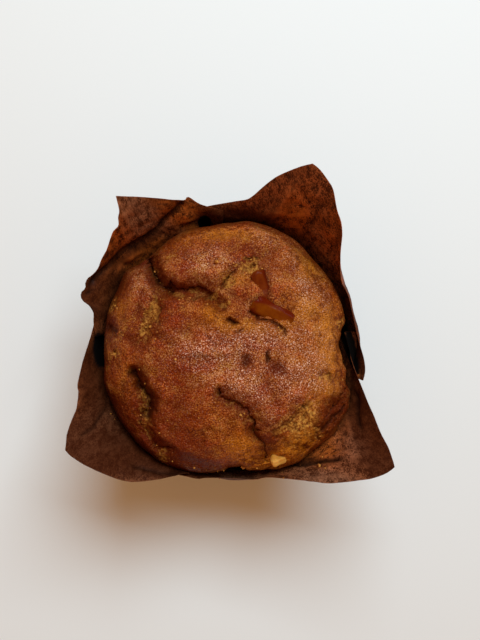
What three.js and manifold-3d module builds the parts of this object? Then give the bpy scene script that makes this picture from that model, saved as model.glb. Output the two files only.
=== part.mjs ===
// A domed fruit muffin in the folded paper tulip case it was baked in.
// Millimetres, +Z up. The origin is the centre of the case's base, on the face it rests on.
import * as THREE from 'three';
import { mergeVertices } from 'three/addons/utils/BufferGeometryUtils.js';
import Module from 'manifold-3d';

const manifold = await Module();
manifold.setup();

// ---- Driving dimensions -------------------------------------------------------------------

// The case is one square sheet pressed into a cup. Its four corners stand up as petals, and
// the spare paper between two petals lies in a flat fold of three layers.
const CASE = {
  baseRadius: 25,
  wallHeight: 46,
  paper: 0.3,
  layerStep: 0.85,
  foldStartsAt: 0.2,
  fullFold: 3,
  flareBend: 0.5,
  crossesFrom: 0.2,
  crossesTo: 0.8,
};
const FOLD_COLUMNS = 5;

// Radius of the wall's top edge by direction: wider behind the petals than at the folds.
const WALL_TOP = [
  [0, 40.6], [50, 41.6], [98, 40.8], [135, 41.8],
  [172, 40.9], [228, 42.2], [262, 40.8], [315, 42.4],
];

// Heights up the wall, as fractions of each strip of paper from base edge to rim.
const LEVELS = [0, 0.05, 0.12, 0.2, 0.32, 0.46, 0.58, 0.68, 0.76, 0.83, 0.89, 0.95, 1];

// Each petal runs anticlockwise from one fold to the next. Its rim goes up to the tip and
// down again through points given as [direction in degrees, radius, height]. side says if
// the paper lies outside (1) or inside (-1) its neighbour at the start and at the end.
const PETALS = [
  {
    baseFrom: 363, baseTo: 449, side: [1, 1],
    rise: [[346.6, 44.9, 48.7], [363.5, 42.3, 50], [382, 41.6, 53.5], [394.8, 43.2, 58],
      [406.9, 50.2, 66], [418.2, 57.8, 71.5], [425.4, 60, 74.5]],
    fall: [[425.4, 60, 74.5], [433.2, 55, 66], [440.9, 48, 57], [449.2, 46.4, 53], [462.9, 44.7, 50]],
  },
  {
    baseFrom: 97, baseTo: 168, side: [-1, -1],
    rise: [[92.2, 42.7, 50.5], [100.6, 44.8, 53], [105.1, 48.4, 56], [108, 48.1, 57.5],
      [117, 51.7, 64], [125.7, 56, 72]],
    fall: [[125.7, 56, 72], [131, 50.2, 66], [142.7, 48.5, 59], [148, 47.6, 56], [156.7, 49, 54],
      [160.4, 49.2, 53], [163.6, 46.4, 52], [169.1, 43.6, 51], [175.1, 42.1, 49.5]],
  },
  {
    baseFrom: 176, baseTo: 251, side: [1, -1],
    rise: [[164, 43.6, 47.4], [177.9, 44.6, 50.5], [186.5, 46.2, 54], [193.6, 48, 57.5],
      [202, 50.3, 62], [208.2, 54.2, 69], [211.6, 55.7, 73]],
    fall: [[211.6, 55.7, 73], [220.6, 54.2, 67.5], [230.6, 52, 61], [240.9, 46.8, 56],
      [248.4, 42.1, 53], [252.5, 41, 51.5]],
  },
  {
    baseFrom: 259, baseTo: 355, side: [1, -1],
    rise: [[241.5, 44.3, 48.2], [256.6, 43.3, 50.5], [268.7, 41.8, 51], [281.7, 42.6, 52],
      [291.9, 44.3, 54], [298.9, 46.7, 57], [307.4, 51.7, 62], [315.6, 55.9, 67], [325.2, 59.9, 73]],
    fall: [[325.2, 59.9, 73], [328.9, 56, 69], [336, 48.8, 61.5], [343.6, 43.9, 55],
      [350.3, 40.9, 52], [358.2, 39.3, 50.5], [367.4, 38.5, 50]],
  },
];
const HALF_PETAL_STEPS = 8;

// The cake: a solid body that fills the case, with a domed top that has split as it rose.
const CAKE = {
  clearance: 0.55,
  floorGap: 0.3,
  floorRing: 0.5,
  footChamfer: 1.2,
  sideTop: 44.5,
  sideSteps: 5,
  crownEdge: 49,
  domeHeight: 20,
  domeRoundness: 2.4,
  domeShoulder: 0.6,
  reliefFadesFrom: 0.9,
  segments: 68,
  domeRings: 20,
};

// Outline of the crown by direction: it swells towards the petals.
const CROWN = [
  [0, 37.2], [30, 38.8], [70, 40.4], [100, 39.3], [135, 40.7], [165, 39.2],
  [200, 40.4], [235, 41.6], [265, 39.3], [295, 41.2], [322, 41.9], [342, 39.6],
];

// Splits in the crust: a line of [x, y] points, a half width and a depth.
const SPLITS = [
  { line: [[-3.6, -11.1], [3.2, -14.8], [7.5, -18.5], [9.6, -24], [12.5, -28.8]], half: 2.1, depth: 2.6 },
  { line: [[-24, 27], [-21, 20], [-8.2, 18.6], [-1.5, 15], [1.4, 8.4]], half: 1.9, depth: 1.7 },
  { line: [[5.5, 12.5], [10.4, 9.2], [15, 7.8], [18.3, 4.4]], half: 1.8, depth: 1.5 },
  { line: [[-28.3, -4.8], [-25.5, -14], [-27, -22], [-22, -29]], half: 2.2, depth: 1.6 },
];

// Swells of the crust: [x, y], a radius and a height (below zero for a hollow).
const SWELLS = [
  { at: [4, 24], radius: 9, height: 0.9 },
  { at: [-14, -8], radius: 12, height: 0.8 },
  { at: [14, -14], radius: 9, height: 1.1 },
  { at: [14.7, -4.9], radius: 2.6, height: -0.9 },
  { at: [5.9, -3.6], radius: 2.4, height: -0.7 },
  { at: [-22, 8], radius: 8, height: -0.6 },
];

// Pieces of fruit baked into the crown: half sizes, place, and turn about the vertical.
const FRUIT_GAP = 0.3;
const FRUIT_SEGMENTS = 14;
const FRUIT_RINGS = 8;
const FRUIT = [
  {
    name: 'fruit_piece_amber', half: [5.4, 2.5, 2.2], at: [13.6, 11.3, 65.9], turn: -19, tilt: [12, 10],
    color: 0xa85a16,
  },
  {
    name: 'fruit_piece_red', half: [3.9, 2.1, 1.5], at: [10.2, 19.4, 65.5], turn: -74, tilt: [12, 5],
    color: 0x8a3410,
  },
  {
    name: 'fruit_piece_pale', half: [2.3, 1.9, 1.7], at: [15.8, -34.6, 54.4], turn: 20, tilt: [-48, 18],
    color: 0xc79a4e,
  },
];

// Colour and roughness of each material.
const PAPER_FINISH = { color: 0x4a2418, roughness: 0.7 };
const CRUST_FINISH = { color: 0x9c5a28, roughness: 0.75 };
const FRUIT_ROUGHNESS = 0.45;

// ---- Small helpers ------------------------------------------------------------------------

const FULL_TURN = 360;
const radians = THREE.MathUtils.degToRad;
const mix = THREE.MathUtils.lerp;
const smooth = (x, low, high) => THREE.MathUtils.smoothstep(x, low, high);

// A closed curve through [direction, radius] pairs, read as radius by direction.
function radiusByDirection(table, degrees) {
  const angle = THREE.MathUtils.euclideanModulo(degrees, FULL_TURN);
  const next = table.findIndex((entry) => entry[0] > angle);
  const after = next === -1 ? [FULL_TURN + table[0][0], table[0][1]] : table[next];
  const before = next === -1 ? table[table.length - 1] : table[next - 1];
  const share = (angle - before[0]) / (after[0] - before[0]);
  return mix(before[1], after[1], smooth(share, 0, 1));
}

function spherePoint([degrees, radius, height]) {
  const angle = radians(degrees);
  return new THREE.Vector3(radius * Math.cos(angle), radius * Math.sin(angle), height);
}

function distanceToLine(x, y, line) {
  let least = Infinity;
  for (let i = 1; i < line.length; i += 1) {
    const [ax, ay] = line[i - 1];
    const [bx, by] = line[i];
    const dx = bx - ax;
    const dy = by - ay;
    const along = THREE.MathUtils.clamp(((x - ax) * dx + (y - ay) * dy) / (dx * dx + dy * dy), 0, 1);
    least = Math.min(least, Math.hypot(x - ax - along * dx, y - ay - along * dy));
  }
  return least;
}

function geometryFrom(points, triangles) {
  const geometry = new THREE.BufferGeometry();
  geometry.setAttribute('position', new THREE.Float32BufferAttribute(points.flat(), 3));
  geometry.setIndex(triangles.flat());
  geometry.computeVertexNormals();
  return geometry;
}

function toSolid(source) {
  const bare = source.clone();
  bare.deleteAttribute('normal');
  bare.deleteAttribute('uv');
  const merged = mergeVertices(bare);
  return new manifold.Manifold(new manifold.Mesh({
    numProp: 3,
    vertProperties: new Float32Array(merged.attributes.position.array),
    triVerts: new Uint32Array(merged.index.array),
  }));
}

function fromSolid(solid) {
  const mesh = solid.getMesh();
  const geometry = new THREE.BufferGeometry();
  geometry.setAttribute('position', new THREE.Float32BufferAttribute(mesh.vertProperties, mesh.numProp));
  geometry.setIndex(Array.from(mesh.triVerts));
  geometry.computeVertexNormals();
  return geometry;
}

// ---- Paper case ---------------------------------------------------------------------------

// Radius of the wall's middle surface at a height, before any layer of a fold moves it.
function wallRadius(degrees, height) {
  return mix(CASE.baseRadius, radiusByDirection(WALL_TOP, degrees), height / CASE.wallHeight);
}

// One strip of paper from the base edge to the rim: straight up the wall, then flaring.
// Gives the point at a share of the strip's length.
function stripPoint(strip, share) {
  const rimDegrees = strip.rimDegrees;
  const degrees = mix(strip.baseDegrees, rimDegrees, share);
  const shift = strip.layer * CASE.layerStep * smooth(share, 0, CASE.foldStartsAt);
  const topRadius = radiusByDirection(WALL_TOP, degrees) + shift;
  const foot = new THREE.Vector2(CASE.baseRadius, 0);
  const top = new THREE.Vector2(topRadius, CASE.wallHeight);
  const rim = new THREE.Vector2(strip.rimRadius, strip.rimHeight);
  const wallLength = foot.distanceTo(top);
  const flareLength = top.distanceTo(rim);
  const bend = wallLength / (wallLength + flareLength);
  const place = new THREE.Vector2();
  if (share <= bend) {
    place.lerpVectors(foot, top, share / bend);
    place.x = wallRadius(degrees, place.y) + shift;
  } else {
    const upWall = top.clone().sub(foot).normalize().multiplyScalar(CASE.flareBend * flareLength);
    const flare = new THREE.QuadraticBezierCurve(top, top.clone().add(upWall), rim);
    flare.getPoint((share - bend) / (1 - bend), place);
  }
  return spherePoint([degrees, place.x, place.y]);
}

// The strips of one petal, evenly spaced along its rim from fold to tip to fold.
function petalStrips(petal) {
  const strips = [];
  const halves = [petal.rise, petal.fall];
  halves.forEach((half, halfIndex) => {
    const rim = new THREE.CatmullRomCurve3(half.map(spherePoint), false, 'centripetal');
    const centre = half[Math.floor(half.length / 2)][0];
    for (let step = halfIndex; step <= HALF_PETAL_STEPS; step += 1) {
      const point = rim.getPointAt(step / HALF_PETAL_STEPS);
      const raw = THREE.MathUtils.radToDeg(Math.atan2(point.y, point.x));
      const rimDegrees = raw + FULL_TURN * Math.round((centre - raw) / FULL_TURN);
      const share = (halfIndex + step / HALF_PETAL_STEPS) / halves.length;
      strips.push({
        baseDegrees: mix(petal.baseFrom, petal.baseTo, share),
        rimDegrees,
        rimRadius: Math.hypot(point.x, point.y),
        rimHeight: point.z,
        layer: mix(petal.side[0], petal.side[1], smooth(share, CASE.crossesFrom, CASE.crossesTo)),
      });
    }
  });
  return strips;
}

// The paper that turns back between two petals: lines of points between the last strip of one
// and the first of the next. Where the two petals don't overlap yet, low on the wall,
// the points lie on a straight line from one strip to the other.
function foldColumns(last, first) {
  const side = Math.sign(last.side);
  const step = CASE.layerStep;
  const columns = Array.from({ length: FOLD_COLUMNS }, (_, index) => index);
  return columns.map((index) => LEVELS.map((_, row) => {
    const share = (index + 1) / (FOLD_COLUMNS + 1);
    const a = last.points[row];
    const c = first.points[row];
    const outA = new THREE.Vector3(a.x, a.y, 0).normalize();
    const outC = new THREE.Vector3(c.x, c.y, 0).normalize();
    const onwardA = new THREE.Vector3(-outA.y, outA.x, 0);
    const onwardC = new THREE.Vector3(-outC.y, outC.x, 0);
    const overlap = a.clone().sub(c).dot(onwardC);
    const turnA = a.clone().addScaledVector(outA, -side * step);
    const turnC = c.clone().addScaledVector(outC, side * step);
    const folded = [
      a.clone().addScaledVector(outA, -side * step / 2).addScaledVector(onwardA, step / 2),
      turnA,
      turnA.clone().lerp(turnC, 0.5),
      turnC,
      c.clone().addScaledVector(outC, side * step / 2).addScaledVector(onwardC, -step / 2),
    ][index];
    return a.clone().lerp(c, share).lerp(folded, smooth(overlap, 0, CASE.fullFold));
  }));
}

function sheetColumns() {
  const petals = PETALS.map((petal) => {
    const columns = petalStrips(petal).map((strip) => LEVELS.map((level) => stripPoint(strip, level)));
    return { columns, side: petal.side };
  });
  return petals.flatMap((petal, index) => {
    const next = petals[(index + 1) % petals.length];
    const last = { points: petal.columns[petal.columns.length - 1], side: petal.side[1] };
    const first = { points: next.columns[0] };
    return [...petal.columns, ...foldColumns(last, first)];
  });
}

function sheetNormal(columns, c, row) {
  const count = columns.length;
  const around = columns[(c + 1) % count][row].clone().sub(columns[(c + count - 1) % count][row]);
  const above = columns[c][Math.min(row + 1, LEVELS.length - 1)];
  const below = columns[c][Math.max(row - 1, 0)];
  return around.cross(above.clone().sub(below)).normalize();
}

function buildCase() {
  const columns = sheetColumns();
  const rows = LEVELS.length;
  const half = CASE.paper / 2;
  const points = [];
  const triangles = [];
  const quad = (a, b, c, d) => triangles.push([a, b, c], [a, c, d]);
  const faces = [1, -1];
  faces.forEach((face) => columns.forEach((column, c) => column.forEach((point, row) => {
    if (row === 0) {
      const radius = CASE.baseRadius + face * half;
      const angle = Math.atan2(point.y, point.x);
      points.push([radius * Math.cos(angle), radius * Math.sin(angle), face > 0 ? 0 : CASE.paper]);
      return;
    }
    const moved = point.clone().addScaledVector(sheetNormal(columns, c, row), face * half);
    points.push(moved.toArray());
  })));
  const at = (face, c, row) => (face * columns.length + (c % columns.length)) * rows + row;
  for (let c = 0; c < columns.length; c += 1) {
    for (let row = 0; row + 1 < rows; row += 1) {
      quad(at(0, c, row), at(0, c + 1, row), at(0, c + 1, row + 1), at(0, c, row + 1));
      quad(at(1, c, row), at(1, c, row + 1), at(1, c + 1, row + 1), at(1, c + 1, row));
    }
    quad(at(0, c, rows - 1), at(0, c + 1, rows - 1), at(1, c + 1, rows - 1), at(1, c, rows - 1));
  }
  const centres = points.length;
  points.push([0, 0, 0], [0, 0, CASE.paper]);
  for (let c = 0; c < columns.length; c += 1) {
    triangles.push([centres, at(0, c + 1, 0), at(0, c, 0)]);
    triangles.push([centres + 1, at(1, c, 0), at(1, c + 1, 0)]);
  }
  return geometryFrom(points, triangles);
}

// ---- Cake ---------------------------------------------------------------------------------

function crustRelief(x, y) {
  let height = 0;
  for (const swell of SWELLS) {
    const away = Math.hypot(x - swell.at[0], y - swell.at[1]) / swell.radius;
    height += swell.height * Math.exp(-away * away);
  }
  for (const split of SPLITS) {
    const away = distanceToLine(x, y, split.line) / split.half;
    height -= split.depth * Math.exp(-away * away);
  }
  return height;
}

function cakeSideRadius(degrees, height) {
  const wall = wallRadius(degrees, height);
  const share = height / CASE.wallHeight;
  return wall - CAKE.clearance - CASE.layerStep * smooth(share, 0, CASE.foldStartsAt);
}

// The lathe's outline on a unit radius: foot, side and dome, from the axis round to the axis.
function cakeOutline() {
  const foot = CASE.paper + CAKE.floorGap;
  const outline = [new THREE.Vector2(0, foot), new THREE.Vector2(CAKE.floorRing, foot)];
  outline.push(new THREE.Vector2(1 - CAKE.footChamfer / CASE.baseRadius, foot));
  for (let step = 0; step <= CAKE.sideSteps; step += 1) {
    const height = mix(foot + CAKE.footChamfer, CAKE.sideTop, step / CAKE.sideSteps);
    outline.push(new THREE.Vector2(1, height));
  }
  for (let ring = 0; ring <= CAKE.domeRings; ring += 1) {
    const out = Math.cos((ring / CAKE.domeRings) * Math.PI / 2);
    const rounded = 1 - out ** CAKE.domeRoundness;
    const radius = ring === CAKE.domeRings ? 0 : out;
    outline.push(new THREE.Vector2(radius, CAKE.crownEdge + CAKE.domeHeight * rounded ** CAKE.domeShoulder));
  }
  return outline;
}

function buildCake() {
  const geometry = new THREE.LatheGeometry(cakeOutline(), CAKE.segments);
  geometry.rotateX(Math.PI / 2);
  const place = geometry.attributes.position;
  for (let i = 0; i < place.count; i += 1) {
    const unit = Math.hypot(place.getX(i), place.getY(i));
    const angle = Math.atan2(place.getY(i), place.getX(i));
    const degrees = THREE.MathUtils.radToDeg(angle);
    const height = place.getZ(i);
    const onDome = height >= CAKE.crownEdge;
    const radius = unit * (onDome ? radiusByDirection(CROWN, degrees) : cakeSideRadius(degrees, height));
    const x = radius * Math.cos(angle);
    const y = radius * Math.sin(angle);
    const relief = onDome ? crustRelief(x, y) * (1 - smooth(unit, CAKE.reliefFadesFrom, 1)) : 0;
    place.setXYZ(i, x, y, height + relief);
  }
  return geometry;
}

// ---- Fruit --------------------------------------------------------------------------------

// A cooked piece of fruit: a tilted ellipsoid, larger all round by extra.
function fruitShape(piece, extra) {
  const geometry = new THREE.SphereGeometry(1, FRUIT_SEGMENTS, FRUIT_RINGS);
  geometry.rotateX(Math.PI / 2);
  geometry.scale(...piece.half.map((size) => size + extra));
  geometry.rotateX(-radians(piece.tilt[0]));
  geometry.rotateY(radians(piece.tilt[1]));
  geometry.rotateZ(radians(piece.turn));
  geometry.translate(...piece.at);
  return geometry;
}

// ---- The whole ----------------------------------------------------------------------------

function named(name, geometry, finish) {
  const material = new THREE.MeshStandardMaterial({ ...finish, metalness: 0 });
  const mesh = new THREE.Mesh(geometry, material);
  mesh.name = name;
  return mesh;
}

const whole = new THREE.Group();
whole.add(named('paper_case', buildCase(), PAPER_FINISH));

let cake = toSolid(buildCake());
for (const piece of FRUIT) {
  cake = cake.subtract(toSolid(fruitShape(piece, FRUIT_GAP)));
  const finish = { color: piece.color, roughness: FRUIT_ROUGHNESS };
  whole.add(named(piece.name, fruitShape(piece, 0), finish));
}
whole.add(named('muffin', fromSolid(cake), CRUST_FINISH));

export default whole;
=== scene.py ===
"""A domed fruit muffin in its folded paper tulip case. It stands on z = 0, in metres, +Z up."""

import math
import random

import bpy
import numpy as np
from mathutils import Matrix, Vector, noise
from mathutils.bvhtree import BVHTree


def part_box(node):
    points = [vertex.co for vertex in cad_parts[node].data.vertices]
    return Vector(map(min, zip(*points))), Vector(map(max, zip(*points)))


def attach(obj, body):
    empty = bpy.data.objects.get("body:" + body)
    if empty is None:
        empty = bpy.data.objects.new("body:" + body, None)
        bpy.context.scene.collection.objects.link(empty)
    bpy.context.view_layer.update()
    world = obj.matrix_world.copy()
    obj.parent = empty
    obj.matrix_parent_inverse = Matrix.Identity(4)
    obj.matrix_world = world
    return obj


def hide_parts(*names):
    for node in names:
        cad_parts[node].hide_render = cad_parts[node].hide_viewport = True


bl_info = {
    "name": "Muffin in a Tulip Case",
    "version": (1, 0, 0),
    "blender": (4, 5, 0),
    "location": "3D View > Sidebar > Muffin",
    "description": "Builds a domed fruit muffin in its folded paper case, on a pale stage",
    "category": "Add Mesh",
}

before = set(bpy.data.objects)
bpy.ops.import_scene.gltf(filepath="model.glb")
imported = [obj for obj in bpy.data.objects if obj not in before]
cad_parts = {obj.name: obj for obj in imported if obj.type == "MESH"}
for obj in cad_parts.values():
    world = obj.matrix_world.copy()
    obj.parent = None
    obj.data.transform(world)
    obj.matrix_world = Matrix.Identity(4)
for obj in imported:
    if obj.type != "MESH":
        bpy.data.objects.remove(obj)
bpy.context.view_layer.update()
MM = 0.001

# Lengths below are millimetres and directions are degrees anticlockwise from +X, until a mesh is
# written. Only the stage is in metres.

# ---- Shared values ------------------------------------------------------------------------

# Keeps the level part of a place.
LEVEL = (1.0, 1.0, 0.0)

# The angle between two faces, in degrees, below which they're shaded as one smooth surface.
SMOOTH_BELOW = 50.0

# What three octaves of ridges add up to at most.
RIDGE_SUM = 1.75

# Where a line's strength starts to climb: just before its end, so that the end itself counts.
BEFORE_END = -0.01

# Steps between two points of a smooth curve.
CURVE_STEPS = 12

# ---- Paper case ---------------------------------------------------------------------------

BASE_RADIUS = 25.0
BASE_RINGS = (0.0, 0.25, 0.5, 0.75, 0.92)
WALL_HEIGHT = 46.0
WALL_TOP = (
    (0, 40.6), (50, 41.6), (98, 40.8), (135, 41.8), (172, 40.9), (228, 42.2), (262, 40.8),
    (315, 42.4),
)

# Where the paper stands off the cake beside a fold: direction, half width and distance.
GAPS = ((101, 4, 2.6), (178, 6, 1.6), (4, 8, 2.4), (272, 6, 1.8))

# Where the cup ends and the petal begins, as a share of the paper's length from base to rim, and
# how much closer together the rows of mesh lie in the petals.
CUP_END = 0.45
CROWDING = 0.35

# A fold: how far two petals overlap before it lies flat, how far its top sinks between them, the
# directions in which its paper is drawn on the way round each turn, and the strips between turns.
FULL_OVERLAP = 3.0
FOLD_SINK = 5.0
FOLD_TURNS = (45.0, 90.0, 135.0)
FOLD_STRIPS = 9

# Width of the UV map, and how the streaks are stretched: round the case in radians, up it and
# along the sheet.
UV_SIZE = 200.0
STREAK_SCALE = (7.2, 0.25, 60.0)

# Each petal of the sheet runs anticlockwise from one fold to the next: base directions, which
# layer it is at its two folds (1 outer, -1 inner), which rim point is its tip, and its rim as
# (direction, radius, height).
PETALS = (
    # back right
    ((363, 449), (1, 1), 14, (
        (346.6, 44.7, 48.7), (350.5, 44.6, 49), (355.7, 43.5, 49.4), (363.5, 41.7, 50),
        (372.5, 40.9, 51.9), (382.2, 41.3, 53.6), (388.5, 41.1, 55.8), (391.2, 41.3, 56.7),
        (399.6, 44.8, 61.2), (406.9, 50.2, 66), (412.5, 53.6, 68.5), (416.5, 56.9, 70.7),
        (418.2, 57.8, 71.5), (422.5, 59.5, 73.4), (425.4, 60, 74.5), (428.3, 58.3, 71.4),
        (433.2, 55, 66), (435.8, 52.8, 63), (438.5, 50.1, 59.8), (440.9, 48, 57), (443, 46.9, 56),
        (449.2, 46.1, 53), (457.3, 45.6, 51.2), (462.9, 45.4, 50))),
    # back left
    ((97, 168), (-1, -1), 5, (
        (92.2, 43.9, 50.5), (100.6, 46.2, 53), (104.6, 49, 56), (107.1, 48.2, 57), (117, 51.7, 64),
        (125.7, 56, 72), (127.6, 52.6, 69.8), (129.5, 51.6, 67.7), (131.3, 49.9, 65.8),
        (134, 50, 64.2), (136.5, 49.2, 62.7), (140.5, 48, 60.3), (145.3, 47.7, 57.5),
        (148.7, 47.1, 55.8), (151.5, 47.7, 55.2), (153.3, 49, 54.8), (155.3, 49.3, 54.3),
        (157.1, 48.7, 53.9), (159.3, 49.6, 53.3), (161.7, 48.6, 52.6), (163.1, 45.6, 52.2),
        (165.2, 44, 51.7), (169.1, 43.6, 51), (175.1, 42.6, 49.5))),
    # front left
    ((176, 251), (1, -1), 11, (
        (164, 44, 47.4), (175.1, 44, 49.9), (182.7, 45.3, 52.4), (186.5, 46.2, 54),
        (193.6, 48, 57.5), (195.7, 48.1, 58.6), (198.7, 48.9, 60.2), (202, 50.3, 62),
        (206.3, 53, 66.9), (208.2, 54.2, 69), (210.2, 55, 71.3), (211.6, 55.7, 73),
        (213.7, 55.7, 71.7), (217.3, 55, 69.5), (220.6, 54.2, 67.5), (227.9, 52.5, 62.8),
        (233.1, 51.1, 59.8), (236.5, 49.3, 58.1), (240.9, 46.8, 56), (245.6, 44.1, 54.1),
        (248.4, 42.4, 53), (252.5, 41.4, 51.5))),
    # front right
    ((259, 355), (1, -1), 13, (
        (241.5, 43.6, 48.2), (249, 43.2, 49.4), (256.6, 42.7, 50.5), (260, 42, 50.6),
        (268.7, 41.4, 51), (281.7, 42.4, 52), (287.3, 42.6, 53.1), (298.9, 46.7, 57),
        (307.4, 51.7, 62), (315.6, 55.9, 67), (317.9, 57.5, 68.4), (320.6, 58.8, 70.1),
        (322.9, 59.6, 71.6), (325.2, 59.9, 73), (326.3, 58.8, 71.8), (328.9, 56, 69),
        (331.7, 52.3, 66.1), (336, 48.8, 61.5), (339.2, 46.3, 58.7), (343.6, 43.9, 55),
        (350.3, 40.9, 52), (354.5, 39.5, 51.2), (359.1, 38.9, 50.5), (367.4, 37.7, 50))),
)

# Lines along which the paper is bent, as (x, y) points, with depth (below zero is a ridge) and
# half width.
PAPER_CREASES = (
    (((-13, 47.4), (-14.9, 44), (-19.1, 39.7), (-22.2, 36.6), (-27.5, 33.1), (-32.2, 30.3),
      (-36, 26.2), (-40.7, 22.5), (-45, 19)), 2.4, 1.5),
    (((-24.5, 32.2), (-29.5, 30), (-33.5, 26.5), (-36.5, 22)), -0.8, 1),
    (((-19, 36.5), (-23, 33.6), (-27, 31)), -0.7, 0.6),
    (((-21, 38), (-25, 34.4), (-30, 30.6)), 0.5, 0.6),
    (((-28.5, 31), (-31, 29.6), (-33, 26.6)), -0.7, 0.6),
    (((-33, 27.5), (-36.5, 25), (-39.5, 20.5)), -0.5, 0.7),
    (((-30, 28), (-34, 26.5), (-37.5, 22.5)), 0.6, 0.6),
    (((-41, 19.5), (-44.5, 17.5), (-47, 16.4)), 0.9, 0.6),
    (((-27, 46), (-31, 41), (-37, 35), (-42, 30)), -0.5, 1.6),
    (((-17.5, 37.5), (-10, 40.2), (-4, 41.5)), 0.7, 0.8),
    (((-19, 36), (-12, 38.6), (-7, 39.6)), -0.6, 0.8),
    (((-10, 46), (-8.5, 43.5), (-7.2, 41)), -0.6, 0.8),
    (((16.3, -37.5), (22.5, -37.2), (26.6, -36.1), (31.9, -34.7), (37.5, -33.3)), 1, 0.8),
    (((24, -41), (31, -39.5), (38, -38.4)), -0.5, 1.6),
    (((39.7, -11.3), (40.6, -16), (40.4, -21.6), (41.5, -27)), 0.9, 0.9),
    (((37.6, -19), (38, -24), (38.6, -29)), -0.6, 1.4), (((21, 31), (26, 38), (28, 46)), 0.6, 1.2),
    (((31, 27), (34, 34), (32, 42)), 0.6, 1.3), (((12, 38), (17, 45), (22, 51)), -0.6, 1.5),
    (((8, 41.5), (14, 43), (20, 42)), -0.6, 1.2), (((-40, -8), (-45, -14), (-48, -22)), -0.6, 1.4),
    (((-38, -17), (-41, -24), (-46, -27)), 0.7, 1.2),
    (((-30, -30), (-38, -31), (-46, -30)), -0.5, 1.6),
    (((-12, -40), (-22, -39), (-32, -36)), 0.7, 1.2),
    (((-41, 10), (-43.5, 13), (-46.5, 13.5)), 0.7, 0.8),
    (((-42, 17), (-45, 17), (-48, 15.5)), -0.6, 0.9),
    (((34, -30), (42, -35), (48, -36)), -0.5, 1.6),
)

# Slits at the folds so deep and narrow that no light gets in, sunk and painted unlit as shade. Each
# is an oval, and all ovals are written alike: x, y, half width, half height and turn. Here the
# depth follows.
SLITS = (
    (-7.7, 40.6, 2.5, 2.3, 0, 3.5), (-41.7, -0.8, 2, 6.2, 3, 3.5), (3.7, -39.4, 4.2, 1.4, 0, 2.5),
    (39.8, 0.5, 1.5, 10.6, 13.6, 3.5),
)

# Tones in the paper, as ovals and their strength. Warm is orange and soaked with butter, dull is
# dry and greyish with a painted sheen where it catches the light, glow is painted light let through
# the paper, dark is painted shade in the creases, the slits and where one petal shades another.
PAPER_TONES = {
    "warm": (
        (-37, 31, 4, 8, -35, 0.6), (-41, 16, 5, 3, 30, 0.2), (-12.5, 42, 9, 4, -25, 0.9),
        (-26.5, 30.6, 9, 2.6, 40, 1), (-40, 33, 3, 9, -40, 0.55), (20, 42, 7, 4, 60, 0.5),
        (33, 38, 3, 8, 0, 0.4), (33, -27, 5, 3.5, 45, 0.5), (29, -33.5, 6, 2.6, 20, 0.7),
        (20, 40, 6, 3, 0, 0.6), (-43, 28, 3, 5, -30, 0.5),
    ),
    "dull_and_sheen": (
        (-26, 41, 10, 6, -25, 0.8), (-40, -26, 12, 8, 30, 0.5), (-24, -41, 14, 4, -8, 0.45),
        (31, -40.5, 9, 3, 0, 1), (37, -30, 4.5, 5, -30, 0.9), (46, -36, 5, 4, 0, 0.3),
        (3, -41.5, 6, 1.6, 0, 0.9), (30, 31, 4, 4, 0, 0.2),
    ),
    "glow": (
        (-37.5, 32, 4, 7, -35, 0.4), (-32, 27.5, 6, 2.4, 42, 0.7), (-18, 38.5, 6, 2.6, 25, 0.9),
        (26, 40, 13, 14, 0, 0.55), (34, 27, 4, 10, 0, 0.9), (11, 46, 9, 5, 0, 0.4),
        (-30, 41, 12, 6, -25, 0.3), (-24, 33.5, 10, 3, 38, 0.9), (30, 29.5, 5, 12, 30, 1),
        (35.5, 19, 3, 9, 8, 0.8), (37, -28, 4, 6, -20, 1.2), (31, -39, 9, 2.6, 0, 0.15),
        (31, -33.5, 5, 3, 0, 0.8), (-30, 34.5, 4, 3, 0, 0.5),
    ),
    "dark": (
        (-1, 42.5, 7, 1.8, 0, 0.9), (-43.5, 19.5, 4, 1.6, 40, 1), (-38.5, 16.5, 2.4, 5, -20, 1),
        (-40, -27, 14, 12, 30, 0.75), (-26, -37, 14, 5, -10, 0.5), (45.5, -29, 5.5, 12, 20, 1.4),
        (-43, -8, 4, 9, 10, 0.8), (-33.5, 23.5, 4, 2, 38, 0.5), (50, -36, 6, 6, 0, 0.5),
        (-45.5, 14, 4, 4, 0, 1.2), (-43, 18, 4, 4, 0, 0.6), (-27, 33.2, 11, 1, 36, 0.9),
        (-40, 21.5, 4, 2, 40, 0.8), (7, 41.5, 9, 2.4, -8, 0.95), (38.5, 15, 2, 9, 0, 0.6),
        (-43.5, -5, 3, 7, 15, 0.6), (-14, -39.5, 16, 1.3, -6, 0.85), (26, -36.2, 10, 0.9, 10, 0.9),
        (41, -17, 2.4, 8, 0, 0.7), (-42.5, 13, 4, 4, 0, 0.75), (-30, -33, 9, 2.4, -35, 0.5),
        (44, -2, 3, 8, 0, 0.8), (48, -34, 3, 6, 0, 0.3),
    ),
}

# How much of a tone shows through to the outside of the case. Unlit and dark are painted shade,
# glow is painted light.
OUTSIDE_TONES = (("unlit", 0.0), ("warm", 0.35), ("glow", 0.35), ("dark", 0.5))

# ---- Cake ---------------------------------------------------------------------------------

# The rings of the cake's side: how far they lie below the crown's edge or how high they lie, and
# their share of the crown's width. Where it is 0, the cake follows the paper at a distance,
# which is greater at its foot. The last ring lies in the bottom, this far in.
UNDER_EDGE = ((1.4, 0.985), (3.0, 0.955))
CROWN_FOOT = 44.0
CAKE_FOOT = 0.6
CAKE_LEVELS = ((CROWN_FOOT, 0.94), (30.0, 0.0), (15.0, 0.0), (2.0, 0.0), (CAKE_FOOT, 0.0))
CAKE_INSET = 1.1
FOOT_INSET = 2.3
BOTTOM_INSET = 8.0

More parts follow.
